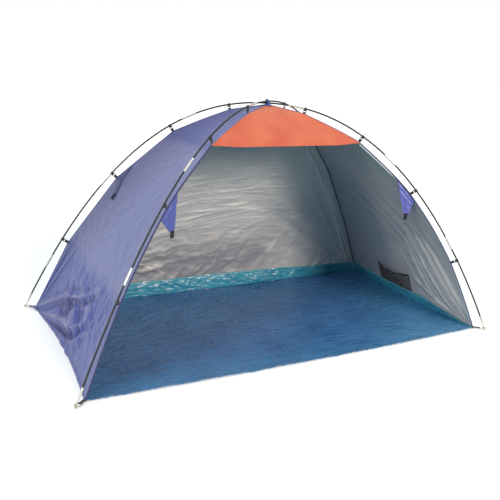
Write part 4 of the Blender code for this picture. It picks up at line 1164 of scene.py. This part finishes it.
def floor_height(x, y):
    """Creases of the groundsheet: small crumples, slanting ripples, packing lines and a slack front edge."""
    slant = drift((x + 0.5 * y) * 2.6, (y - 0.22 * x) * 15 + 1.4 * drift(x * 4, y * 4, 51), 52)
    small = crumple(x * 1.9 + 0.3 * y, y * 2.3, 57) * (0.55 + 0.45 * smooth(0.5 - 0.8 * x))
    tiny = crease(x * 26 + y * 9, (y - 0.35 * x) * 34, 53) - crease(x * 19 - y * 17, (y + 0.6 * x) * 31, 58)
    broad = drift(x * 2.1, y * 3.3, 54)
    packed = sum(np.exp(-((place - line) / 0.005) ** 2)
                 for place, lines in zip((x, y), PACKING_LINES) for line in lines)
    front = np.exp(-(y + 0.57) / 0.05) * (0.5 + 0.5 * drift(x * 5, y * 0, 55))
    height = (0.0016 * slant + 0.0024 * small + 0.0010 * tiny + 0.0024 * broad + 0.0012 * packed
              + 0.0040 * np.clip(front, 0, 1))
    return FLOOR_Z + np.clip(height + 0.0030, 0.0, None)


def make_floor():
    """The groundsheet, with the turned hem and the stitches along its front edge."""
    grid = floor_grid(340, 180)
    grid[..., 2] = floor_height(grid[..., 0], grid[..., 1])
    sheet = add_ply("groundsheet_cloth", grid, SHEETING, ["floor_sheet"])
    edge = grid[0]
    shares = np.array([0.0, 0.25, 0.5, 0.75, 1.0])[:, None, None]
    hem = edge + np.array([0.0, FLOOR_HEM, 0.0]) * shares + UP * (0.0012 - 0.0004 * shares ** 2)
    add_ply("groundsheet_hem", hem, SHEETING)
    line = edge + np.array([0.0, 0.75 * FLOOR_HEM, 0.0017])
    stitches("groundsheet_stitches", [(line, UP)], PALE_THREAD)


def strip_path(height, count):
    """One level of the upstand: back along the left wall, across the back wall and forward again."""
    row, side, end = row_at(height), np.linspace(0.0, 1.0, 140), np.linspace(0.0, 1.0, 240)
    legs = (("left_wall", side[:-4]), ("back_wall", end[4:-4]), ("right_wall", side[-4::-1]))
    path = np.concatenate([wall(panel, row, across, -STRIP_CLEAR) for panel, across in legs])
    kernel = np.hanning(9)
    padded = np.concatenate([2 * path[:1] - path[4:0:-1], path, 2 * path[-1:] - path[-2:-6:-1]])
    path = np.stack([np.convolve(padded[:, k], kernel / kernel.sum(), "valid") for k in range(3)], axis=1)
    marks = lengths(path)
    at = np.linspace(0, marks[-1], count)
    return along_run(path, marks, at), at


def strip_height(at):
    """How high the upstand stands at distances along it: low at the front, drawn up along the back wall."""
    rising = smooth((at - RISE_START) / (RISE_FULL - RISE_START))
    falling = smooth((RISE_END - at) / (RISE_END - RISE_FALLS))
    taper = smooth(np.minimum(at, at[-1] - at) / STRIP_TAPER)
    return (STRIP_HEIGHT + STRIP_RISE * rising * falling) * (0.12 + 0.88 * taper)


def make_upstand():
    """The groundsheet's upstand: glossy crinkled sheet on the inside of three walls."""
    heights = np.linspace(0.0, STRIP_HEIGHT + STRIP_RISE, 22)
    paths = [strip_path(0.0018 + height, 700) for height in heights]
    stack, at = np.stack([path for path, _ in paths]), paths[0][1]
    rows = []
    for share in np.linspace(0.0, 1.0, 15):
        level = share * strip_height(at)
        near = np.clip(level / heights[-1] * (len(heights) - 1), 0, len(heights) - 1.001)
        low, column = near.astype(int), np.arange(len(at))
        path = mix(stack[low, column], stack[low + 1, column], near - low)
        inward = unit(np.cross(UP, unit(np.gradient(path, axis=0)))) * -1
        pucker = crease(at * 5 + 3 * level, at * 22 + level * 40, 61) + 0.8 * drift(at * 34, level * 70, 62)
        full = math.sin(math.pi * min(share * 0.9 + 0.06, 1.0))
        shift = inward * (0.0062 * np.clip(pucker * 0.8 + 0.40, 0, 1.5) * full)[:, None]
        still = np.zeros_like(at)
        shift[:, 2] = share * (0.0030 * drift(at * 9, still + 3, 63) + 0.0028 * drift(at * 31, still + 5, 64))
        rows.append(path + shift)
    strip = add_ply("upstand_cloth", np.stack(rows), STRIP, ["floor_upstand"])
    top = rows[-1]
    hem = np.stack([top - UP * 0.0085 + inward * 0.0009, top - UP * 0.004 + inward * 0.0012,
                    top + UP * 0.0006, top - UP * 0.0006 - inward * 0.0008])
    add_ply("upstand_top_hem", hem, STRIP_HEM)
    stitches("upstand_stitches", [(top - UP * 0.0055 + inward * 0.0019, inward)], GREY_THREAD)


# Net pockets

def pocket_spot(side, along, up, lift=0.0):
    """A point of a net pocket: along from its front end, and up from its bottom to its mouth."""
    reach = POCKET_HEIGHT - MOUTH_SAG * np.sin(math.pi * along)
    bulge = POCKET_SLACK * np.sin(math.pi * along) * up ** 0.8
    bulge = bulge * (1 + 0.12 * drift(along * 7, up * 2, 71)) + 0.0012 * (1 + drift(along * 16, up * 5, 72))
    return wall_spot(side, POCKET_FRONT + POCKET_LENGTH * along, STRIP_HEIGHT + 0.001 + reach * up,
                     -(POCKET_CLEAR + bulge + lift))


def make_pockets():
    """A net on each side wall: a lattice of strands, bound at its mouth and taped at both ends."""
    mouth = ((0.955, 0.0012), (0.985, 0.0020), (1.02, 0.0022), (1.045, 0.0010), (1.045, -0.0010),
             (1.02, -0.0016), (0.955, -0.0010))
    columns, rows = int(POCKET_LENGTH / NET_GAP), int(POCKET_HEIGHT / NET_GAP)
    up, along = unit_grid(rows + 1, columns + 1)
    skew = 0.5 / columns * (np.arange(rows + 1) % 2)[:, None] * np.sin(math.pi * along) ** 0.2
    line, rise = np.linspace(0, 1, 60), np.linspace(0, 1.03, 30)
    for name, side in SIDES.items():
        mesh = surface(pocket_spot(side, np.clip(along + skew, 0, 1), up))
        net = add_piece(f"pocket_net_{name}", mesh, NET, [f"mesh_pocket_{name}"])
        lattice = net.modifiers.new("strands", "WIREFRAME")
        lattice.thickness = NET_STRAND
        lattice.use_even_offset = False
        grid = np.stack([pocket_spot(side, line, 0 * line + height, lift) for height, lift in mouth])
        add_ply(f"pocket_mouth_{name}", grid, POCKET_TAPE)
        for end, start in (("front", 0.0), ("back", 1.0)):
            grid = np.stack([pocket_spot(side, 0 * rise + abs(start - share), rise, -0.0012)
                             for share in (-0.004, 0.010, 0.024)])
            add_ply(f"pocket_side_{end}_{name}", grid, POCKET_TAPE, thickness=0.0010)
        seam_line = pocket_spot(side, line, 0 * line + 0.97, 0.0030)
        stitches(f"pocket_stitches_{name}", [(seam_line, np.array([-side, 0.0, 0.2]))], GREY_THREAD)


# Guy tabs

def make_tab(corner, grid, webbing, face, bend=None):
    """A tab's cloth, its webbing folded into a loop, and stitches; given a bend, its cloth and stitches stay
    off the tab's body, with their places baked in.
    """
    # The left tabs take the darker copies of their cloth: painted shade.
    finish = {"front_left": SHADED_TAB_CLOTH, "back_left": DEEPER_SHADED_TAB_CLOTH}.get(corner, TAB_CLOTH)
    body = f"tab_{corner}"
    carrier = None if bend else body
    cloth = add_ply(f"tab_cloth_{corner}", grid, finish, [f"guy_tab_{corner}"], carrier)
    add_ply(f"tab_webbing_{corner}", webbing, BLACK_WEBBING, (), body, 0.0011)
    edges = [(grid[:, edge] * 0.94 + grid[:, beside] * 0.06 + face * 0.0008, face)
             for edge, beside in ((0, 1), (-1, -2))]
    edges.append((webbing[2] + face * 0.0012, face))
    seams = stitches(f"tab_stitches_{corner}", edges, PALE_THREAD, body=carrier)
    if bend:
        for piece in (cloth, seams):
            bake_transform(piece)


def loop_grid(top, way, across, face):
    """A tab's webbing, folded in two at its bottom end: down the front and up the back."""
    front = [(0.0, 0.0018), (0.25, 0.0019), (0.55, 0.0020), (0.85, 0.0024), (0.97, 0.0019)]
    profile = [*front, (1.0, 0.0), *((run, -off) for run, off in front[::-1])]
    path = [top + way * TAB_WEB_LENGTH * run + face * off for run, off in profile]
    return band(path, across, TAB_WEB_WIDTH)


def make_front_tabs():
    """Tabs that hang free from the front edges of the side walls."""
    for name, side in SIDES.items():
        above, below, drop, hang, cut = FRONT_TABS[side]
        rows = [row_from(TAB_KNOT, above), row_from(TAB_KNOT, -below)]
        upper, lower = (seam_inset((side, FRONT), np.array(row), 0.0034) for row in rows)
        level = (lower - upper) * (1, 1, 0)
        run, level = np.linalg.norm(level), unit(level)
        face = np.cross(level, UP)
        end = upper + level * run * hang + UP * ((lower - upper)[2] / 2 - drop)
        half = level * TAB_END / 2
        down, share = unit_grid(44, 24)
        seed = 81 + side
        waves = np.sin(down * 21 + 1.6 * drift(share * 2, down * 3, seed)) * (1 - down) * 0.6
        pleats = drift(share * 4 + down, down * 1.3, seed + 1)
        height = (0.0030 * waves + 0.0042 * pleats) * smooth(down / 0.12) * smooth((1 - down) / 0.1)
        grid = between(between(upper, lower, share), between(end - half, end + half, share), down)
        grid = grid + face * height[..., None]
        if side == LEFT:
            grid = grid[:, ::-1]
        web = loop_grid(end + UP * TAB_WEB_LAP, -UP, level, face)
        edge = unit(lower - upper)
        away = unit(edge * edge[2] - UP)
        make_tab(f"front_{name}", grid, web, face, (upper, upper + away * TAB_BEND))


def make_back_tabs():
    """Tabs that lie on the outside of the side walls; flat places are Y and height."""
    for name, side in SIDES.items():
        knots = SEAMS[side, BACK]
        low_end, high_end = (seam((side, BACK), row_from(TAB_KNOT, distance))[1:] - (0.0032, 0.0)
                             for distance in (BACK_TAB_START, TAB_ABOVE_CLIP))
        fall = knots[TAB_KNOT - 1] - knots[TAB_KNOT]
        steep = abs(fall[2]) / math.hypot(fall[0], fall[2])
        tip = (low_end + high_end) / 2 - (BACK_TAB_LEAN, TAB_DROP * steep)

        def spots(flat, lift=BACK_TAB_LIFT):
            return wall_spot(side, flat[..., 0], flat[..., 1], lift)

        down, share = unit_grid(44, 24)
        stop = tip + np.stack([TAB_END * (0.5 - share), 0 * share], axis=-1)
        folds = 0.0016 * (1 + drift(share * 3 + down, down * 4, 91 + side)) * smooth(down / 0.1)
        grid = spots(between(between(low_end, high_end, share), stop, down), BACK_TAB_LIFT + folds)
        if side == LEFT:
            grid = grid[:, ::-1]
        low = spots(tip)
        across, way = unit(spots(tip + (0.01, 0.0)) - low), unit(spots(tip - (0.0, 0.01)) - low)
        face = np.cross(across, way)
        face = face * np.sign(face[0] * side)
        web = loop_grid(low - way * TAB_WEB_LAP + face * 0.0022, way, across, face)
        make_tab(f"back_{name}", grid, web, face)


# Poles

def pole_route(letter):
    """A pole's centre line from its front eye to its back eye, with the distance at each point."""
    side = LEFT if letter == "a" else RIGHT
    crown = pole_crown(side, FRONT)
    shares = np.linspace(0, 1, 260)
    points = np.concatenate([leg(side, FRONT, shares[:0:-1], crown), leg(-side, BACK, shares, crown)])
    return points, lengths(points)


def ferrule_profile(joint):
    """A pressed sleeve with rolled ends and a crimp groove near each end."""
    radius, bead = FERRULE_R + 0.0001, 0.00025
    half = [(FERRULE_HALF - back, size) for back, size in (
        (0.0, POLE_R), (0.0, radius - bead), (0.0006, radius + bead), (0.0016, radius + bead),
        (0.0024, radius), (0.0070, radius), (0.0078, radius - bead), (0.0090, radius - bead),
        (0.0098, radius))]
    return [*((joint - place, size) for place, size in half),
            *((joint + place, size) for place, size in half[::-1])]


def tip_profile():
    """A pole's end sleeve: its open nose, and a crimped barrel over the rod."""
    groove = FERRULE_R - 0.0003
    return [(TIP_MOUTH + 0.010, BORE_R), (TIP_MOUTH, BORE_R), (TIP_MOUTH, TIP_NOSE_R - 0.0004),
            (TIP_MOUTH + 0.0008, TIP_NOSE_R), (TIP_NOSE, TIP_NOSE_R), (TIP_NOSE + 0.0004, FERRULE_R - 0.0002),
            (TIP_NOSE + 0.0010, FERRULE_R), (TIP_SLEEVE - 0.0060, FERRULE_R), (TIP_SLEEVE - 0.0052, groove),
            (TIP_SLEEVE - 0.0040, groove), (TIP_SLEEVE - 0.0032, FERRULE_R), (TIP_SLEEVE, FERRULE_R),
            (TIP_SLEEVE + 0.0003, POLE_R)]


def make_poles():
    """Each pole's rods, the ferrules over their joints, its end sleeves and its cord."""
    for letter in "ab":
        route = pole_route(letter)
        length = route[1][-1]
        joints = [(length - SHORT_SECTION) / (SECTIONS - 1) * number for number in range(1, SECTIONS)]
        ends = [TIP_NOSE, *joints, length - TIP_NOSE]
        for number, (start, stop) in enumerate(zip(ends, ends[1:]), start=1):
            profile = [(start + 0.0004, BORE_R), (start + 0.0004, POLE_R - 0.0003), (start + 0.0007, POLE_R),
                       (stop - 0.0007, POLE_R), (stop - 0.0004, POLE_R - 0.0003), (stop - 0.0004, BORE_R)]
            turned(f"pole_{letter}_rod_{number}", route, profile, ROD,
                   [f"pole_{letter}_section_{number}"])
        fittings = {f"ferrule_{number}": ferrule_profile(joint)
                    for number, joint in enumerate(joints, start=1)}
        fittings["tip_front"] = tip_profile()
        fittings["tip_back"] = [(length - place, size) for place, size in tip_profile()]
        for name, profile in fittings.items():
            turned(f"pole_{letter}_{name}", route, profile, BRIGHT_STEEL, sides=20, step=0.006)
        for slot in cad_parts[f"pole_{letter}_shock_cord"].material_slots:
            slot.material = CORD


# Corners

def make_corners():
    """The pin in each pole's end, the ring that it stands in, and the ring's webbing."""
    for name, (side, end) in CORNERS.items():
        crown = pole_crown(side, end)
        foot = leg(side, end, 1.0, crown)
        pull = corner_pull(side, end)
        axis = unit(leg(side, end, 1.0 - 1 / 18, crown) - foot)
        ahead = np.cross(unit(np.cross(axis, pull)), axis)
        turn = np.linspace(-math.pi / 2 + 0.35, 1.5 * math.pi - 0.18, 40)
        eye = [foot + EYE_R * (np.cos(a) * ahead + np.sin(a) * axis) for a in turn[::-1] - math.pi]
        reaches = (EYE_R + 0.0035, EYE_R + 0.008, *np.linspace(EYE_R + 0.012, PIN_REACH, 12))
        pin = joined(wire(eye, PIN_R), wire([eye[-1], *(foot + axis * reach for reach in reaches)], PIN_R))
        pin.shade_smooth()
        add_piece(f"pin_wire_{name}", pin, WIRE_STEEL, [f"corner_pin_{name}"], f"pin_{name}")

        centre = leg(side, end, 1.0) - pull * RING_R
        ring = [centre + RING_R * np.array([math.cos(a), math.sin(a), 0.0])
                for a in np.linspace(0, TAU, 48, endpoint=False)]
        add_piece(f"ring_wire_{name}", wire(ring, RING_WIRE, closed=True), WIRE_STEEL,
                  [f"corner_ring_{name}"], f"ring_{name}")
        make_corner_webbing(name, centre, pull)


def make_corner_webbing(name, centre, pull):
    """Webbing round the ring's wire and back on itself, sewn down to the corner of the walls."""
    width, ply = CORNER_WEB
    level = np.cross(pull, UP)
    half, near = ply * 0.55, -RING_R - 0.006
    bar = -math.sqrt(RING_R ** 2 - (width / 2) ** 2)
    tail = RING_R - RING_REACH - 0.006

    def spot(x, z, share=0.0):
        return centre + pull * x + UP * z + level * width * share

    path = [(tail, half)] + [(x, half) for x in np.linspace(tail + 0.006, near, 6)]
    path += [(bar + p[0], p[1]) for p in arc(RING_WIRE + 0.0008, 2.4, -2.4, 14)]
    path += [(x, -half) for x in np.linspace(near, tail + 0.006, 6)] + [(tail, -half)]
    add_ply(f"corner_web_{name}", band([spot(x, z) for x, z in path], level, width), BLACK_WEBBING,
            [f"corner_webbing_{name}"], thickness=0.0009)
    ends = (tail + 0.004, -RING_R - 0.008)
    lines = [[spot(x, half + 0.0007, share) for x in np.linspace(*ends, 8)] for share in (-0.38, 0.38)]
    lines += [[spot(x, half + 0.0007, share) for share in (-0.38, 0, 0.38)] for x in ends]
    runs = [(np.array(line), UP) for line in lines]
    stitches(f"corner_stitches_{name}", runs, GREY_THREAD)
    if name.startswith("back"):
        shares = np.linspace(-1.0, 1.0, 13)[:, None]
        grid = np.stack([spot(x, half + 0.0016 + rise * (1 - shares ** 2), reach / width * shares)
                         for x, reach, rise in CORNER_PATCH])
        add_ply(f"corner_patch_{name}", grid, CANOPY)


# Clips

def clip_shape():
    """The moulded clip, with the pole through its origin along local Y and the slot below."""
    outer = CLIP_INNER + CLIP_WALL
    start, stop = CLIP_TURN + CLIP_OPENING / 2, CLIP_TURN - CLIP_OPENING / 2 + TAU
    lips = [(CLIP_INNER + outer) / 2 * np.array([math.cos(a), math.sin(a)]) for a in (start, stop)]
    caps = [[lip + p for p in arc(CLIP_WALL / 2, turn, turn + math.pi, 4)[1:-1]]
            for lip, turn in zip(lips, (start + math.pi, stop))]
    ring = [*arc(outer, start, stop, 28), *caps[1], *arc(CLIP_INNER, stop, start, 28), *caps[0]]
    hook = plate(ring, [], CLIP_LENGTH, 0.0004)
    hook.transform(Matrix.Rotation(math.pi / 2, 4, "X"))
    top, bottom = -(outer - CLIP_WALL / 2), -(CLIP_BAR_DEPTH + CLIP_BAR / 2)
    slot_middle = -(CLIP_BAR_DEPTH - CLIP_BAR / 2) + CLIP_SLOT[1] / 2
    outline = [(x, y + (top + bottom) / 2) for x, y in box_ring(CLIP_PLATE[0], top - bottom, 0.0022)]
    slot = [(x, y + slot_middle) for x, y in box_ring(*CLIP_SLOT, 0.0008)][::-1]
    body = plate(outline, [slot], CLIP_PLATE[1], 0.0004)
    body.transform(Matrix(((0, 0, 1, 0), (1, 0, 0, 0), (0, 1, 0, 0), (0, 0, 0, 1))))
    ribs = []
    for offset in (-CLIP_LENGTH / 2 + 0.0014, CLIP_LENGTH / 2 - 0.0014):
        rib = plate([(-outer * 0.72, -outer * 0.6), (outer * 0.72, -outer * 0.6), (0.0016, top - 0.0052),
                     (-0.0016, top - 0.0052)], [], 0.0016, 0.0003)
        rib.transform(Matrix.Translation((0, offset, 0)) @ Matrix.Rotation(math.pi / 2, 4, "X"))
        ribs.append(rib)
    return joined(hook, body, *ribs)


def clip_webbing(reach):
    """Webbing round the clip's bar, closing below it and running down to the seam."""
    width, ply = CLIP_WEB
    half, lap = CLIP_PLATE[1] / 2 + ply * 0.7, ply * 0.55
    bar_low = -CLIP_BAR_DEPTH - CLIP_BAR / 2
    closed = bar_low - min(0.004, (bar_low + reach) / 2)
    low, high = bar_low - ply * 0.4, -CLIP_BAR_DEPTH + CLIP_BAR / 2 + ply * 0.6
    loop = [(-lap, -reach), (-lap, closed), (-half, low + ply), (-half, high - ply), (-half + ply, high),
            (half - ply, high), (half, high - ply), (half, low + ply), (lap, closed), (lap, -reach)]
    return band([np.array([x, 0.0, z]) for x, z in loop], np.array([0.0, 1.0, 0.0]), width, 3)


def make_clips():
    """Every clip on its pole, with the webbing that holds it to the seam."""
    shape = clip_shape()
    for corner, (side, end) in CORNERS.items():
        for number, share in enumerate(CLIP_SPANS, start=1):
            place, down, _ = leg_frame(side, end, share, pole_crown(side, end))
            knot = SEAMS[side, end][LAST - number]
            out = place - knot
            out = unit(out - down * out.dot(down))
            matrix = frame_matrix(place, np.cross(down, out), down, out)
            clip = shape.copy()
            clip.transform(matrix)
            add_piece(f"clip_{corner}_{number}", clip, PLASTIC,
                      [f"pole_clip_{corner}_{number}"])
            web = surface(clip_webbing((place - knot).dot(out) + 0.0005))
            web.transform(matrix)
            web = add_piece(f"clip_web_{corner}_{number}", web, BLACK_WEBBING)
            thicken(web, CLIP_WEB[1] * 0.85)


# Crown

def make_crown():
    """The tape tied over the crossing of the poles, its knot and tails, and the gather under it."""
    slope = (HALF_Y + 4 * LEG_BOW) / HALF_X
    half_y = TIE_WIDTH / 2 * slope + POLE_R * math.hypot(1, slope) + 0.0006
    half_z = POLE_R + CROSSING + 0.0006
    ring = [(y * half_y / 0.5, z * half_z / 0.5) for y, z in box_ring(1.0, 1.0, 0.18, 5)]
    places = np.linspace(-TIE_WIDTH / 2, TIE_WIDTH / 2, 7)
    grid = np.array([[(x + 0.0006 * math.sin(5 * y / half_y), y, POLE_TOP + z) for x in places]
                     for y, z in ring + ring[:1]])
    thicken(add_piece("crown_tape_loop", surface(grid), BLUE_TAPE, ["crown_tie"]), 0.0012, 1.0)
    top = POLE_TOP + half_z + 0.0012
    turns = np.linspace(0, TAU, 60)[:-1]
    knot = np.stack([0.0042 * np.sin(turns) + 0.0030 * np.sin(2 * turns),
                     0.0036 * np.cos(turns) - 0.0024 * np.cos(2 * turns),
                     top + 0.0022 - 0.0014 * np.sin(3 * turns)], axis=1)
    add_piece("crown_knot", wire(knot, KNOT_R, closed=True), BLUE_TAPE)
    along = np.linspace(0, 1, 22)
    for name, side in SIDES.items():
        centre = np.stack([side * (0.003 + 0.013 * along),
                           0.002 + 0.004 * along * side + 0.001 * np.sin(5 * along),
                           top + 0.002 + 0.004 * along - 0.018 * along ** 2.2], axis=1)
        twist = [0.2 * np.sin(3 * along), np.ones_like(along), 0.5 * np.sin(4 * along + side)]
        across = unit(np.stack(twist, axis=1))
        face = unit(np.cross(np.gradient(centre, axis=0), across))
        grid = np.stack([centre + across * TAIL_WIDTH * share + face * 0.0010 * (1 - (2 * share) ** 2)
                         for share in np.linspace(-0.5, 0.5, 5)])
        add_ply(f"crown_tail_{name}", grid, BLUE_TAPE, thickness=0.0008)
    make_crown_gather()


def make_crown_gather():
    """The patch of canopy cloth over the tips of the panels, drawn up into the tie."""
    around = np.linspace(0, TAU, 97)
    rings = []
    for reach, climb in ((0.036, 0.0), (0.029, 0.0003), (0.021, 0.0008), (0.014, 0.0016), (0.009, 0.0026),
                         (0.006, 0.0034), (0.004, 0.0036)):
        pleat = 1 + (0.14 - 2.2 * reach) * np.sin(11 * around + 60 * reach)
        x, y = reach * pleat * np.cos(around), 0.62 * reach * pleat * np.sin(around)
        slope = np.maximum(np.abs(x) * 0.21, np.abs(y) * 0.33)
        rings.append(np.stack([x, y, POLE_TOP - PEAK_DROP + 0.0016 + climb - slope], axis=1))
    # In the darker copy of the tab cloth: painted shade.
    add_ply("crown_gather", np.stack(rings), SHADED_TAB_CLOTH)


# Floor, light and camera

def background_rays(paint):
    """1 for a ray to the eye, or to it by way of a mirror or glass, and 0 for the light on the object."""
    rays = ("Is Camera Ray", "Is Glossy Ray", "Is Transmission Ray")
    return sum(paint.node("LightPath", {}, {}, ray) for ray in rays).limited()


def make_stage():
    """A floor that is plain white to the eye, and gives a dim cool light to the object."""
    bpy.ops.mesh.primitive_plane_add(size=STUDIO, location=(0, 0, -0.0005))
    ground = bpy.context.active_object
    ground.name = "studio_floor"
    paint = Paint("studio_floor", Roughness=0.9, Specular_IOR_Level=0.1, Emission_Strength=1.0)
    seen = background_rays(paint)
    white = paint.blend((0.95, 0.95, 0.95), (0.97, 0.97, 0.97), paint.clouds(3.0))
    ground.data.materials.append(paint.put(
        Base_Color=paint.blend((0.42, 0.56, 0.60), white, seen),
        Emission_Color=paint.blend((0.0, 0.0, 0.0), (0.28, 0.25, 0.23), seen)))


def make_world():
    """White behind the object, and a dim cool light round it."""
    world = bpy.data.worlds.new("studio")
    bpy.context.scene.world = world
    paint = Paint(world)
    paint.tree.nodes.clear()
    ambient = paint.node("Background", {}, {"Color": (0.62, 0.89, 1.0), "Strength": 0.39})
    backdrop = paint.node("Background", {}, {"Color": (1.0, 1.0, 1.0), "Strength": 1.0})
    light = paint.node("MixShader", {}, {0: background_rays(paint), 1: ambient, 2: backdrop})
    paint.feed(paint.tree.nodes.new("ShaderNodeOutputWorld").inputs["Surface"], light)


def make_lamps():
    """Each lamp lights the whole floor alike, from the direction of its place."""
    for name, (place, softness, strength, colour) in LAMPS.items():
        lamp = bpy.data.lights.new(name, "SUN")
        lamp.color = colour
        lamp.angle = math.radians(softness)
        lamp.energy = strength
        holder = bpy.data.objects.new(name, lamp)
        holder.location = place
        holder.rotation_euler = (-Vector(place)).to_track_quat("-Z", "Y").to_euler()
        bpy.context.scene.collection.objects.link(holder)


def make_camera():
    """The camera that the photo was taken with, as solved from the poles."""
    ahead = np.array([math.sin(EYE_YAW), math.cos(EYE_YAW), 0.0])
    right = np.array([math.cos(EYE_YAW), -math.sin(EYE_YAW), 0.0])
    look = ahead * math.cos(EYE_PITCH) - UP * math.sin(EYE_PITCH)
    upright = ahead * math.sin(EYE_PITCH) + UP * math.cos(EYE_PITCH)
    level = right * math.cos(EYE_ROLL) + upright * math.sin(EYE_ROLL)
    upright = -right * math.sin(EYE_ROLL) + upright * math.cos(EYE_ROLL)
    data = bpy.data.cameras.new("camera")
    data.lens = LENS
    data.sensor_width = 36.0
    data.clip_end = 60.0
    camera = bpy.data.objects.new("camera", data)
    camera.matrix_world = frame_matrix(EYE_POINT, level, upright, -look)
    bpy.context.scene.collection.objects.link(camera)
    bpy.context.scene.camera = camera


for make in (make_canopy, make_hems, make_seams, make_front_bindings, make_eave_hem, make_floor, make_upstand,
             make_pockets, make_front_tabs, make_back_tabs, make_poles, make_corners, make_clips, make_crown,
             make_stage, make_world, make_lamps, make_camera):
    make()
bpy.context.scene.view_settings.view_transform = "Standard"
